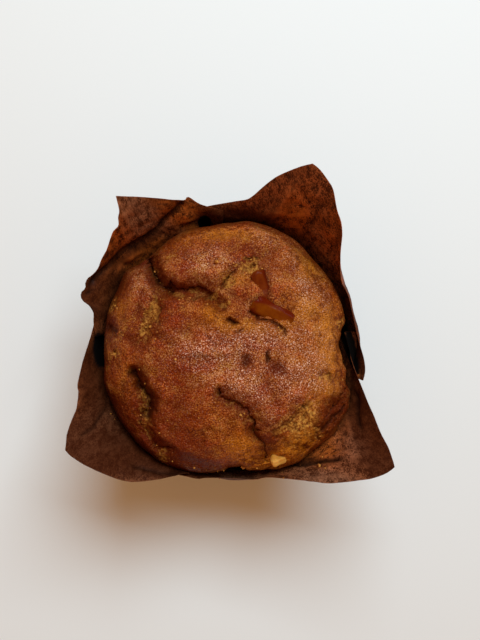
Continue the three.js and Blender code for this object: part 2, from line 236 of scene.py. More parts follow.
# The crown's edge, as direction and radius.
CROWN = (
    (1.8, 35.4), (8, 36.5), (13.5, 38.6), (21.6, 39), (30.9, 39.3), (44.7, 39.3), (59.9, 40.8),
    (70.8, 41.1), (80.1, 41.2), (89.1, 40.1), (98.4, 39.5), (110.2, 40), (118, 39.5), (124, 38.9),
    (130, 38.4), (136, 38.9), (143, 40.9), (152.7, 40), (162.1, 40.2), (169.3, 39.8), (176.4, 39.7),
    (185.5, 39.8), (196.6, 41.3), (205, 41.2), (213.8, 41.7), (220.9, 41.7), (226.6, 42.1),
    (232.4, 42.1), (238.9, 42.4), (244.6, 42), (250.6, 41.6), (256, 41.1), (261.7, 40.3),
    (267.3, 39.5), (270.9, 38.2), (275.7, 38.1), (280.3, 39.9), (287, 40.7), (293.4, 42.1),
    (302.5, 43), (308.2, 42.5), (314.7, 42.9), (321.8, 43.7), (326.5, 43.2), (332.6, 43.3),
    (338.9, 42), (344.7, 39), (348.5, 38.7), (354, 36.8),
)

# The crown's usual radius, and the direction in which its rim is darkest: baked hardest and in
# painted shade.
CROWN_REACH = 40.0
LOWER_LEFT = (-0.8, -0.6)

# How the lines and ovals of the crust wander: how far, the size of the lumps and their seed.
WANDER = ((0.8, 2.8, 21), (0.5, 1.3, 23), (0.3, 0.7, 25))

# Edges where the crust stands over a split. The crust is the high ground on the left of the
# line's direction: points, drop, how far the floor takes to climb back, raised lip, overhang,
# how much pale crumb shows on the floor, how dark the floor is, partly toasting and partly painted
# shade.
LEDGES = (
    (((-3, -10.2), (-2.1, -10.8), (-1.6, -12), (-0.7, -13.8), (0.8, -14.8), (2.6, -14.8),
      (4.1, -15.4), (5.3, -16.6), (6.9, -17.6), (7.5, -19.1), (7.8, -21.3), (8.7, -22.6),
      (10.5, -23.7), (11.5, -25)), 2.9, 2.2, 0.45, 0.9, 0.2, 0.85),
    (((7.5, -22.6), (8.7, -24.6), (9.4, -26.6), (11.2, -28), (12.5, -30.2), (12.3, -32.8),
      (12.2, -36.6)), 1.6, 1.8, 0.2, 0.5, 0.3, 0.6),
    (((-25.4, 30.8), (-24.4, 27.8), (-23.2, 25.1), (-22, 23.1), (-20.7, 20.9), (-20.6, 19)), 1.9,
      2.2, 0.4, 0.5, 0.1, 1),
    (((-18.7, 19.9), (-17.2, 21.2), (-15.6, 19.6), (-13.1, 18.6), (-10.7, 19.5), (-8.2, 19.8),
      (-6.1, 18.9), (-4.3, 18), (-3.1, 17.1)), 1.7, 2.2, 0.4, 0.6, 0.15, 0.7),
    (((-0.1, 10.5), (-0.7, 12), (-2.8, 13.5), (-5.2, 15), (-8.2, 15.3), (-12, 14.6)), 0.8, 1.8,
      0.15, 0.3, 0.55, 0.35),
    (((-3.1, 17.1), (-2.8, 18), (-1.9, 19.8), (-0.4, 21.7), (1.1, 23.2), (2.3, 24.1), (3.8, 25.7)),
      0.9, 1.5, 0.2, 0.3, 0.7, 0.4),
    (((3.2, 26.6), (4.1, 27.6), (5.4, 28.6), (6.9, 27.9), (8.1, 28.6), (9.7, 28.6), (10.3, 27)),
      1.1, 1.6, 0.25, 0.4, 0.9, 0.45),
    (((6.6, 14.6), (9.3, 14.4), (11.4, 15), (13.5, 14), (16.2, 13.1), (19, 12.2), (20.6, 10.6)),
      1.3, 1, 0.2, 0.5, 0, 0.7),
    (((12.6, 14.6), (12.4, 17), (11.4, 20.4), (10.2, 23.2), (8.6, 24.4)), 0.7, 1.2, 0.1, 0.4, 0,
      0.8),
    (((11.5, -25), (13.6, -24.1), (15.8, -23.6), (17.3, -21.3), (19.2, -20.1), (21.3, -18.6),
      (22.9, -16.8), (25.1, -16)), 0.7, 2.8, 0.15, 0.3, 0.35, 0.15),
    (((27, -25.3), (29.6, -22), (32.4, -18.3), (35.3, -14.5), (38, -11)), 1.8, 1.6, 0.2, 0.5, 0,
      1.1),
    (((-28.3, -3.9), (-28, -6.9), (-27.4, -9.4), (-26.1, -11.8), (-24.6, -13.7), (-23.7, -15.5),
      (-24.1, -17.4), (-25.8, -19.8), (-26.8, -22.9), (-24.9, -25.1), (-23.5, -27.8),
      (-22.1, -29.9), (-19.7, -30.3), (-17.4, -30.4), (-15.5, -30.6)), 1.2, 2, 0.3, 0.4, 0.3, 0.75),
    (((-20.5, 15), (-20.4, 12), (-20, 9), (-20.9, 5.9)), 0.7, 2.2, 0.2, 0.2, 0.6, 0.2),
)

# Wide valleys with a torn floor: points, depth, half width, crumb shown, darkness, partly toasting
# and partly painted shade.
VALLEYS = (
    (((-25.4, 30.8), (-23.8, 26), (-21.5, 21.5), (-19, 18.3), (-14, 17.4), (-9, 17.4),
      (-5.5, 15.8), (-2.5, 13), (-0.8, 10.2)), 2, 2.3, 0.2, 1.15),
    (((-20.6, 19), (-21.6, 14), (-23.4, 9.5), (-25, 4), (-28, -2)), 1.7, 2.3, 0.15, 0.5),
    (((-3.1, 17.1), (-1, 20.5), (2.5, 24.5), (7, 26.6), (10, 26.2)), 1.1, 1.6, 0.4, 0.5),
    (((-28.5, -4), (-27.4, -9.4), (-24.8, -14.5), (-24.8, -19.5), (-25.2, -25), (-21.5, -30.2),
      (-16, -31.8)), 1.5, 1.9, 0.35, 0.9),
    (((12, -28), (17, -25.4), (20.5, -22), (23.5, -18.6)), 0.9, 2.6, 0.35, 0.2),
    (((-3, -12), (0.4, -16.2), (4.6, -18.6), (6.8, -23.2), (10.6, -28), (11.6, -34)), 0.8, 1.9,
      0.2, 0.45),
)

# Narrow grooves in the crust: points, depth, half width, darkness, partly toasting and partly
# painted shade.
GROOVES = (
    (((-41, 6.4), (-37.5, 6.9), (-34, 4.8)), 1.6, 1.5, 1),
    (((-25.8, 31.5), (-24.8, 28), (-23.8, 25.4), (-22.4, 23), (-21, 20.6)), 2, 0.9, 1),
    (((-22.5, 21.5), (-20.5, 19.6), (-18.2, 18.6), (-16.6, 16.6)), 1.6, 1.5, 1),
    (((-29.5, -6), (-27.6, -9), (-25.6, -12), (-23.4, -15.4), (-23.2, -18.2), (-25.6, -21.6)), 1.7,
      1.7, 1),
    (((-0.8, 9.9), (1.1, 8.4), (2.9, 7.4)), 2.4, 1, 0.9),
    (((1.7, 5.1), (4.1, 6), (5.9, 6.9)), 0.7, 0.4, 0.7),
    (((6.3, 12.2), (8.6, 10.2), (10.4, 9), (12.9, 8.9), (14.1, 8), (15.6, 6.9), (17.1, 5.9),
      (18, 4.1)), 1.3, 0.6, 0.7),
    (((12, 0.4), (12.4, -2.6), (12, -4.8)), 1.4, 0.45, 0.7),
    (((5, -0.9), (5.6, -3), (6.2, -5.7)), 0.9, 1.5, 0.5),
    (((-15.7, -2.8), (-11.1, -2.1), (-8.1, -1.5), (-6, -2.1), (-3.6, -2.7), (-1.2, -1.8),
      (0.9, -1.5), (5.3, -0.6)), 0.16, 0.5, 0.35),
    (((27.1, -25.2), (28.9, -28.6), (30.2, -29.9)), 0.6, 0.4, 0.7),
    (((16.3, -28.3), (19.6, -29.9), (23.1, -30.2), (26.3, -31.8)), 0.5, 0.8, 0.6),
    (((12.2, -27), (15.5, -26.2), (17.5, -27.4), (18.4, -29)), 0.4, 0.6, 0.5),
    (((19, -19.8), (20.4, -22.5), (20.6, -25.5)), 0.4, 0.5, 0.4),
    (((-2.5, -3.4), (-1.4, -6)), 0.1, 0.5, 0.2),
    (((-31, -9), (-32.5, -14), (-31, -20)), 0.25, 0.9, 0.4),
    (((28.4, -25.6), (31, -23.6), (33.4, -21.6), (36, -19.4), (38, -17.6)), 1.6, 0.8, 1.1),
)

# Hollows (depth above zero) and swells (below zero), as ovals, their depth and darkness, partly
# toasting and partly painted shade.
HOLLOWS = (
    (-35.5, 19.5, 2.2, 6, -28, 0.4, 1), (-17, -34, 10, 3.8, -20, 0.2, 1.1),
    (-12, -34, 6, 2.6, -6, 0, 0.4), (-38, 6.8, 2.2, 3.2, 0, 0.8, 1.1),
    (-35, -19.5, 2.6, 8, 30, 0, 0.7), (-33, 19, 1.4, 3, -30, 0.6, 0.6),
    (14.7, -5.5, 2.8, 2, -35, 2, 1.1), (-22.1, -16.7, 2.2, 1.8, 10, 0.7, 0.95),
    (7.2, 25.7, 0.5, 0.45, 0, 1.2, 1), (8.4, 25.7, 0.5, 0.4, 0, 1.2, 1),
    (-18.4, 18.2, 2.3, 1.6, -30, 0.9, 0.7), (3.2, -17.8, 2.6, 1.4, -45, 0.4, 0.1),
    (9, -25.4, 1.8, 1, -60, 0.6, 0.5), (-30.9, 3.7, 3.4, 2, -20, 0.2, 0.5),
    (19.3, 24.6, 2, 2.8, 15, 0.35, 0.45), (9.6, 10.4, 3.4, 1.4, -30, 1.2, 0.3),
    (-13.5, 17.6, 5.5, 1.9, -4, 1, 0.45), (-5, 16, 4, 1.7, -28, 0.9, 0.35),
    (-21.4, 17.5, 1.9, 6.5, 14, 0.8, 0.35), (-24.8, 4.5, 1.8, 5, 12, 0.7, 0.4),
    (-28.6, -2.5, 1.8, 4, 0, 0.6, 0.35), (-30, 17, 4.5, 8, -18, -0.9, 0),
    (-8, -1, 10, 7, 0, -0.6, 0), (-5, -25, 12, 8, 0, -0.7, 0), (24, 20, 6, 8, -30, -0.6, 0),
    (-33.5, -14, 3, 9, 12, -0.6, 0), (23.6, -21.6, 2.6, 4.6, -12, 0.8, 0),
    (-6.8, 37.4, 9, 1.6, 4, -0.2, 0), (4, 24, 9, 8, 0, -0.7, 0), (-12, -9, 12, 10, 0, -0.7, 0),
    (15, -13, 9, 8, 0, -0.8, 0), (-12, 28, 9, 6, -15, -0.5, 0), (27, 6, 7, 9, 0, -0.4, 0),
    (35.4, -17.6, 2.4, 2.2, 40, 1.4, 1.1), (33.6, -25, 5.5, 1.7, 42, -0.9, 0.35),
    (19, -26.4, 3.6, 2.2, 10, -0.6, 0), (-31, -16, 3, 8, 0, -0.4, 0),
    (36.6, 7.4, 1.4, 2, 0, 0.7, 0), (10.6, 18.2, 2.4, 5.2, 12, 1.3, 0.15),
    (15, 9.8, 3.4, 1.4, -28, 1, 0.2), (15.2, -35, 3.4, 3.2, 0, 2.6, 0),
    (29.2, -7.4, 1.9, 0.9, 20, 0.8, 0.7), (29.4, 18.6, 1.7, 1.1, -40, 0.7, 0.8),
    (31.4, 15.4, 1.8, 0.9, -55, 0.8, 0.9), (33, 12.2, 1.2, 1.3, 0, 0.7, 0.8),
    (29.4, 13.4, 1.2, 0.8, 30, 0.6, 0.7), (33.8, 9, 0.9, 1.1, 0, 0.6, 0.7),
    (26.8, 22.4, 0.9, 2.6, 35, 0.5, 0.6), (23.5, 27.5, 0.9, 3.2, 55, 0.4, 0.5),
    (-27.5, 12, 1, 2.4, -10, 0.5, 0.6), (-13, 5.5, 3.2, 1.8, -10, 0.5, 0.5),
    (1.8, 16.6, 2.2, 1.4, -40, 0.7, 0.9), (-8.5, 8.5, 2.6, 1.6, -35, 0.4, 0.4),
)

# Torn places where the yellow crumb shows, as ovals and their strength.
TORN = (
    (-23.2, 11.2, 1.8, 4.2, -25, 1), (-25.2, 6.2, 1.6, 3, -10, 0.6),
    (23.6, -21.6, 2.9, 5.4, -12, 1), (20.6, -24.4, 2.2, 2.2, 0, 0.5),
    (-36.5, 13.7, 1.3, 3, -15, 0.75), (-32.5, 5.4, 1.6, 2, 0, 0.4), (-20.9, -34.7, 2, 2.2, 0, 0.8),
    (7, 25, 3.2, 1.8, 0, 0.8), (0.6, 21, 1.6, 2.2, -35, 0.75), (35.8, 8, 1.5, 1.8, 0, 0.95),
    (28.2, -27, 1.3, 1.7, 15, 1), (8, -38, 7, 1.2, 3, 0.55), (22, -37.4, 6, 1, 22, 0.5),
    (-6, -38.6, 5, 1, -4, 0.4), (-35.1, -1.3, 0.9, 0.8, 0, 1), (30.6, -8.6, 2.6, 1.3, 0, 0.95),
    (11, -39.7, 9, 1.5, 6, 1), (-1, -39.4, 3, 1, 0, 0.6), (-25.6, -18, 1.6, 3, 15, 0.5),
    (3.4, -19.5, 3.2, 1.6, -50, 0.25), (-22.6, 24, 1, 3, 20, 0.15), (-10, 16.2, 4.5, 1.1, 5, 0.35),
    (16.4, 6.6, 1.6, 1.3, -40, 0.5), (-37.5, -3, 2, 5, 0, 0.35),
)

# Crumbs: those that have fallen on the paper, how far the others are strewn over the crown, their
# usual radius, and the height they're dropped from, in metres.
STREWN_REACH = 39.0
USUAL_CRUMB = 0.22
DROPPED_FROM = 0.2
PAPER_CRUMBS = ((-37, -21.9), (-37.6, -21.2), (-36.4, -23), (30, -34.4), (42, -9))

# Tones of the crust, as ovals and their strength. Bloom is painted sheen, pale where the crust's
# gloss catches the light; orange and golden are lightly baked; red is baked hard or wet with juice,
# and painted shade too along the lobes' lower edges and at the lower left.
CRUST_TONES = {
    "bloom": (
        (-4, 26.3, 8, 5, -8, 0.5), (-4, -0.1, 11, 5, 0, 0.9), (2.3, -8.6, 8, 4.5, 0, 0.7),
        (22, 20, 4, 10, 10, 0.35), (21, -4.6, 10, 11, 0, 0.8), (8.4, -13.7, 5, 4, 0, 0.6),
        (-25.5, 20, 2.6, 6, 0, 0.8), (13, 26, 3.4, 4.5, 0, 0.7), (6.5, 12.5, 2.4, 2.4, 0, 0.6),
        (14, 34, 9, 3, -20, 0.5), (9.5, 3.5, 6, 3.5, 0, 0.9), (25.5, 15.5, 4.5, 5, -20, 0.8),
        (7, -12.3, 4, 3.4, 0, 0.8), (14, -14, 8, 6, 0, 0.5), (28, -1, 5, 13, 5, 0.45),
    ),
    "orange": (
        (-7, 34.8, 13, 2.8, 6, 0.9), (-32.5, 12, 2.8, 5, -10, 0.4), (-4.6, 10.8, 4.2, 4.4, 0, 0.8),
        (13, 26, 4, 5, 0, 0.5), (-32.2, -4.7, 5, 7, 0, 0.7), (-6, -23, 9, 9, 0, 0.5),
        (3.8, -29, 4.5, 7, 10, 1), (24, -31.3, 5, 3.2, 20, 0.9), (35.2, 11.5, 2, 5.5, 12, 0.9),
        (30.3, 2.7, 5, 6.5, 0, 0.5), (3.8, 21.1, 3.4, 1.5, 0, 0.9), (19, 33.5, 9, 3, -30, 0.5),
        (-34, -18, 3, 8, 10, 0.4),
    ),
    "golden": (
        (32, -1, 3.4, 12, 6, 0.55), (6, -33, 9, 5, 0, 0.4), (13, -36, 6, 3, 0, 0.8),
        (24, -28, 8, 5, 20, 0.6), (31, 9, 4, 12, 8, 0.6), (27, -4, 8, 7, 0, 0.35),
        (24, 26, 6, 6, 0, 0.6), (21, 10, 5, 8, 0, 0.5), (22, -29, 8, 4, 25, 0.7),
        (4.5, -30, 4, 6, 10, 0.5), (-4, 11, 4, 3.5, 0, 0.6), (-33, 14, 2.5, 6, -10, 0.6),
        (-1, 36, 12, 2.4, 0, 0.5), (10, 7, 5, 2.6, 0, 0.85), (29, -13, 5, 5, 0, 0.5),
        (-30, -8, 3, 6, 0, 0.3), (12, -35, 6, 3, 0, 0.6), (25, 12.5, 3, 3, 0, 0.7),
        (1, 7, 3, 2, 0, 0.6), (2, 22, 4, 2, 0, 0.5),
    ),
    "red": (
        (-32, 19, 3.6, 6, -12, 0.9), (-31, 2, 4, 5, 0, 0.5), (-27, -3, 4, 5, 0, 0.3),
        (-18.5, -26, 5, 6, 0, 0.7), (-14, -33.5, 9, 3.5, -8, 1), (-33.5, -21.5, 3.6, 9, 32, 1),
        (-21, 24, 5, 5, 0, 0.45), (-17, 29, 4, 3, 0, 0.3), (-15, -22, 8, 8, 0, 0.25),
        (-12, -14, 5, 10, 0, 0.8), (-17, -36, 12, 4, -8, 0.6), (-17.5, -1, 6, 5, 0, 0.4),
        (-17.5, -27, 5, 9, 0, 0.9), (-12, -32, 7, 4, 0, 0.9), (-11.5, 30, 5, 6, 0, 0.4),
        (20, 26, 3, 4, 0, 0.5), (-37.5, 8, 2, 6, 0, 0.8), (-36.5, -6, 2.5, 5, 0, 0.6),
        (-9, 21.5, 9, 2.6, -3, 0.5), (-11, 20.6, 8.4, 2.2, -3, 1), (-17.6, 17.6, 3.2, 2.6, 0, 0.8),
        (-26.6, 14, 2.6, 6.5, -5, 0.5), (-14.3, 7.7, 4.5, 4.5, 0, 0.55),
        (0.2, 15.3, 1.8, 1.7, 0, 1), (7.2, 27.7, 3, 1.2, 0, 0.9), (13.2, 28.7, 1.8, 1.1, 0, 0.7),
        (19, 23.9, 2.2, 1.8, 0, 0.9), (21.5, 7, 2.2, 3.6, 10, 0.9), (-32, 20.5, 3.6, 5, -10, 0.7),
        (-31.5, 7, 4, 4, 0, 0.5), (-5.5, -2.6, 11, 1, 0, 0.6), (-24.8, -12.5, 3.6, 8, 15, 0.7),
        (-36, -21, 2, 6, 15, 0.8), (-21.5, -28.5, 4, 5, 0, 0.7), (-9.2, -35.8, 10, 1.8, 4, 0.7),
        (6, -4.1, 1.7, 2.3, 0, 0.9), (14.7, -5.3, 3, 3.2, 0, 1), (12, -19.5, 3.5, 6, 35, 0.6),
        (12.6, -27.7, 4.5, 2.6, 0, 0.7), (33, -20.8, 4, 8, -38, 1), (3.8, -20, 1.6, 5, 40, 0.7),
        (-24.6, 25, 2.4, 6, 20, 0.7), (30.5, 15.5, 2, 5, -25, 0.6), (10.4, 8.4, 4, 1.6, -25, 0.8),
        (-20.5, -4.5, 2, 1.6, 0, 0.6),
    ),
}

# Damp, shiny places: x, y and radius.
DAMP = (
    (-19, 18.1, 0.8), (-17.7, 15.3, 0.7), (-28.4, -9.8, 0.7), (-20.9, -4.6, 0.9), (14, -8, 0.9),
    (-24.9, -18.8, 1.4), (-27.4, -12, 1.2), (-18.6, 18.6, 1.6), (-26, -14.5, 1.2),
)

# ---- Fruit --------------------------------------------------------------------------------

# The fruit pieces: kind, piece, its node, shape, and the roughness and translucency of the flesh.
FRUIT = (
    ("amber", "fruit_amber", "fruit_piece_amber",
     dict(size=(13.2, 5.4, 3.2), turn=-25, tilt=(-13, 5), seed=61, rough=0.2, taper=0.25),
     0.28, 0.1),
    ("pale", "fruit_pale", "fruit_piece_pale",
     dict(size=(5.0, 4.8, 3.9), turn=20, tilt=(-40, 14), seed=71, rough=0.06, taper=0.0),
     0.45, 0.3),
    ("red", "fruit_red", "fruit_piece_red",
     dict(size=(9.0, 4.6, 2.4), turn=-74, tilt=(12, 5), seed=81, rough=0.2, taper=0.2),
     0.3, 0.1),
)

# ---- Stage, in metres ---------------------------------------------------------------------

FLOOR_SIZE = 6.0
WINDOW_PLACE = (0.14, 0.44, 0.76)
WINDOW_SIZE = (0.55, 0.4)
WINDOW_AIM = (0.0, 0.0, 0.03)
CAMERA_OVER = (3.84 * MM, 8.96 * MM)


# ---- Shared mathematics -------------------------------------------------------------------

def ease(value, low, high):
    """0 at low, 1 at high and a smooth climb between, whichever of the two is greater."""
    share = np.clip((value - low) / (high - low), 0.0, 1.0)
    return share * share * (3.0 - 2.0 * share)


def mix(first, second, share):
    return first + (second - first) * share


def ring_radius(table, degrees):
    """Radius by direction round a closed table of (direction, radius)."""
    angle = np.mod(np.asarray(degrees, float) - table[0][0], 360.0)
    starts = np.array([row[0] for row in table] + [table[0][0] + 360.0]) - table[0][0]
    radii = np.array([row[1] for row in table] + [table[0][1]])
    step = np.clip(np.searchsorted(starts, angle, side="right") - 1, 0, len(table) - 1)
    share = (angle - starts[step]) / (starts[step + 1] - starts[step])
    return mix(radii[step], radii[step + 1], ease(share, 0.0, 1.0))


def bell(distance, half):
    """1 at no distance, falling smoothly to 0 beyond the half width."""
    return np.exp(-(distance / half) ** 2)


def polar(radius, angle, *height):
    """Places from their radius and direction, with a height if one is given."""
    return np.stack([radius * np.cos(angle), radius * np.sin(angle), *height], axis=-1)


def gap_width(degrees):
    """How far the paper stands off the cake in each direction."""
    total = np.zeros_like(np.asarray(degrees, float))
    for middle, half, wide in GAPS:
        off = np.mod(degrees - middle + 180.0, 360.0) - 180.0
        total = total + wide * bell(off, half)
    return total


def ripple(points, size, seed):
    """Smooth noise from -1 to 1 whose lumps are about `size` millimetres."""
    shift = Vector((seed * 17.31, seed * 5.77, seed * 11.13))
    return np.array([noise.noise(Vector(p) / size + shift) for p in points])


def ridges(points, size, seed, octaves=3):
    """Crumpled noise from 0 to 1: sharp ridges between smooth hollows."""
    total = np.zeros(len(points))
    weight = 1.0
    for octave in range(octaves):
        total += weight * (1.0 - 2.0 * np.abs(ripple(points, size / 2 ** octave, seed + octave)))
        weight *= 0.5
    return total / RIDGE_SUM


def near_line(place, line, taper):
    """Distance to a line, its side (1 on the left) and its strength, tapering off at its ends."""
    away = np.full(len(place), np.inf)
    side = np.ones(len(place))
    along = np.zeros(len(place))
    run = 0.0
    for start, end in zip(line, line[1:]):
        step = np.subtract(end, start)
        length = float(np.hypot(*step))
        share = np.clip(((place - start) @ step) / length ** 2, 0.0, 1.0)
        off = place - start - share[:, None] * step
        distance = np.hypot(off[:, 0], off[:, 1])
        closer = distance < away
        away = np.where(closer, distance, away)
        left = step[0] * off[:, 1] >= step[1] * off[:, 0]
        side = np.where(closer, np.where(left, 1.0, -1.0), side)
        along = np.where(closer, run + share * length, along)
        run += length
    return away, side, ease(along, BEFORE_END, taper) * ease(run - along, BEFORE_END, taper)


def in_oval(place, x, y, half_wide, half_high, turn):
    """1 in the middle of a turned oval, falling smoothly to 0 outside it."""
    angle = math.radians(turn)
    off = place - (x, y)
    across = (off[:, 0] * math.cos(angle) + off[:, 1] * math.sin(angle)) / half_wide
    up = (off[:, 1] * math.cos(angle) - off[:, 0] * math.sin(angle)) / half_high
    return np.exp(-(across ** 2 + up ** 2))


# ---- Mesh helpers -------------------------------------------------------------------------

def clear_selection():
    if bpy.context.object and bpy.context.object.mode != "OBJECT":
        bpy.ops.object.mode_set(mode="OBJECT")
    bpy.ops.object.select_all(action="DESELECT")


def new_grid(name, across, along):
    """A flat grid with `across` by `along` faces, and each vertex's column and row."""
    clear_selection()
    bpy.ops.mesh.primitive_grid_add(x_subdivisions=across, y_subdivisions=along, size=2.0)
    piece = bpy.context.object
    piece.name = piece.data.name = name
    flat = corners(piece)
    column = np.rint((flat[:, 0] + 1.0) / 2.0 * across).astype(int)
    row = np.rint((flat[:, 1] + 1.0) / 2.0 * along).astype(int)
    return piece, column, row


def corners(piece):
    """The vertices' places as an array."""
    flat = np.empty(len(piece.data.vertices) * 3)
    piece.data.vertices.foreach_get("co", flat)
    return flat.reshape(-1, 3)


def place_corners(piece, points):
    piece.data.vertices.foreach_set("co", np.ascontiguousarray(points, dtype=np.float64).ravel())
    piece.data.update()


def give_values(piece, name, values):
    """Stores one number a vertex, for the material to read."""
    attribute = piece.data.attributes.get(name) or piece.data.attributes.new(name, "FLOAT", "POINT")
    attribute.data.foreach_set("value", np.clip(values, 0.0, 1.0).astype(np.float32))


def only(piece):
    """Selects the piece alone and makes it active."""
    clear_selection()
    piece.select_set(True)
    bpy.context.view_layer.objects.active = piece


def edit(piece):
    only(piece)
    bpy.ops.object.mode_set(mode="EDIT")
    bpy.ops.mesh.select_all(action="DESELECT")


def apply_modifier(piece, kind, **settings):
    only(piece)
    modifier = piece.modifiers.new(kind.title(), kind)
    for key, value in settings.items():
        setattr(modifier, key, value)
    bpy.ops.object.modifier_apply(modifier=modifier.name)


def finish_piece(piece, material, slot, *nodes):
    """Puts the material on, smooths the shading and hangs the piece on the frame."""
    only(piece)
    piece.data.materials.clear()
    piece.data.materials.append(material)
    bpy.ops.object.shade_smooth_by_angle(angle=math.radians(SMOOTH_BELOW))
    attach(piece, "root")
    if nodes:
        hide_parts(*nodes)


# ---- Material helpers ---------------------------------------------------------------------

class Tree:
    """A node tree being built, with short ways to add nodes."""

    def __init__(self, tree):
        self.tree = tree

    def add(self, kind, inputs=None, **settings):
        node = self.tree.nodes.new(kind)
        for key, value in settings.items():
            setattr(node, key, value)
        for key, value in (inputs or {}).items():
            self.feed(node.inputs[key], value)
        return node

    def feed(self, socket, value):
        """Links another node's output or sets a constant. A colour comes without its alpha."""
        if isinstance(value, bpy.types.NodeSocket):
            self.tree.links.new(value, socket)
        elif socket.type == "RGBA":
            socket.default_value = (*value, 1.0)
        else:
            socket.default_value = value

    def here(self):
        """The place on the piece, in metres."""
        return self.add("ShaderNodeTexCoord").outputs["Object"]

    def value(self, name):
        """The number stored under this name at each vertex."""
        return self.add("ShaderNodeAttribute", attribute_name=name).outputs["Fac"]

    def noise(self, where, scale, detail=3.0, roughness=0.55, distortion=0.0):
        """Smooth noise from 0 to 1, whose scale is in lumps a metre."""
        node = self.add("ShaderNodeTexNoise", {
            "Vector": where, "Scale": scale, "Detail": detail,
            "Roughness": roughness, "Distortion": distortion})
        return node.outputs["Fac"]

    def ramp(self, value, *stops):
        """A value turned into a colour or a grey by stops of (value, colour or grey)."""
        node = self.add("ShaderNodeValToRGB", {"Fac": value})
        marks = node.color_ramp.elements
        while len(marks) < len(stops):
            marks.new(0.5)
        for mark, (place, colour) in zip(marks, stops):
            mark.position = place
            mark.color = (colour,) * 3 + (1.0,) if isinstance(colour, float) else (*colour, 1.0)
        return node.outputs["Color"]

    def blend(self, share, first, second, mode="MIX"):
        """The second colour laid over the first, as far as the share says."""
        node = self.add("ShaderNodeMix", data_type="RGBA", blend_type=mode)
        for key, value in (("Factor_Float", share), ("A_Color", first), ("B_Color", second)):
            self.feed(next(s for s in node.inputs if s.identifier == key), value)
        return next(s for s in node.outputs if s.identifier == "Result_Color")

    def times(self, first, second, plus=0.0):
        """first * second + plus"""
        node = self.add("ShaderNodeMath", operation="MULTIPLY_ADD")
        for socket, value in zip(node.inputs, (first, second, plus)):
            self.feed(socket, value)
        return node.outputs["Value"]

    def coat(self, under, name, strength, colour):
        """Lays a colour over another where the stored tone of this name is."""
        return self.blend(self.times(self.value(name), strength), under, colour)

    def group(self, group, **inputs):
        return self.add("ShaderNodeGroup", inputs, node_tree=group).outputs


class Finish(Tree):
    """A material being built: its tree and its shader."""

    def __init__(self, name, **inputs):
        self.material = bpy.data.materials.new(name)
        self.material.use_nodes = True
        super().__init__(self.material.node_tree)
        self.shader = self.tree.nodes["Principled BSDF"]
        self.surface(**inputs)

    def surface(self, **inputs):
        """Feeds the shader's inputs, named with underscores for spaces."""
        for key, value in inputs.items():
            self.feed(self.shader.inputs[key.replace("_", " ")], value)

    def grain(self, where, size, strength, distance):
        """Roughens the surface with crumbly grain and returns the mask of its pores."""
        grain = self.group(grain_group(), Vector=where, Size=size)
        bump = self.add("ShaderNodeBump", {
            "Height": grain["Height"], "Strength": strength, "Distance": distance})
        self.surface(Normal=bump.outputs["Normal"])
        return grain["Pores"]


def grain_group():
    """Crumbly grain: a height for the bump and a mask of the dark pores between the grains."""
    made = bpy.data.node_groups.get("crumbly_grain")
    if made:
        return made
    made = bpy.data.node_groups.new("crumbly_grain", "ShaderNodeTree")
    for name, way, kind in (("Vector", "INPUT", "Vector"), ("Size", "INPUT", "Float"),
                            ("Height", "OUTPUT", "Float"), ("Pores", "OUTPUT", "Float")):
        made.interface.new_socket(name, in_out=way, socket_type="NodeSocket" + kind)
    tree = Tree(made)
    entry = tree.add("NodeGroupInput").outputs
    coarse = tree.noise(entry["Vector"], entry["Size"], 4.0, 0.65)
    cells = tree.add("ShaderNodeTexVoronoi", {"Vector": entry["Vector"], "Scale": entry["Size"]},
                     feature="F1")
    pores = tree.add("ShaderNodeMapRange", {
        "Value": cells.outputs["Distance"], "From Min": 0.32, "From Max": 0.08}).outputs["Result"]
    tree.add("NodeGroupOutput", {"Height": tree.times(pores, -0.35, coarse), "Pores": pores})
    return made


# Tints that a colour is multiplied by: blotches of the crust, and painted light where the paper is
# lit through from behind.
REDDER = (1.0, 0.62, 0.4)
YELLOWER = (1.06, 1.35, 1.0)
LIT_THROUGH = (1.7, 1.6, 1.6)

# Painted shade: the paper's colour in the bottom of a crease and in the slits.
SHADED_PAPER = (0.008, 0.002, 0.0008)
UNLIT_PAPER = (0.003, 0.0015, 0.001)


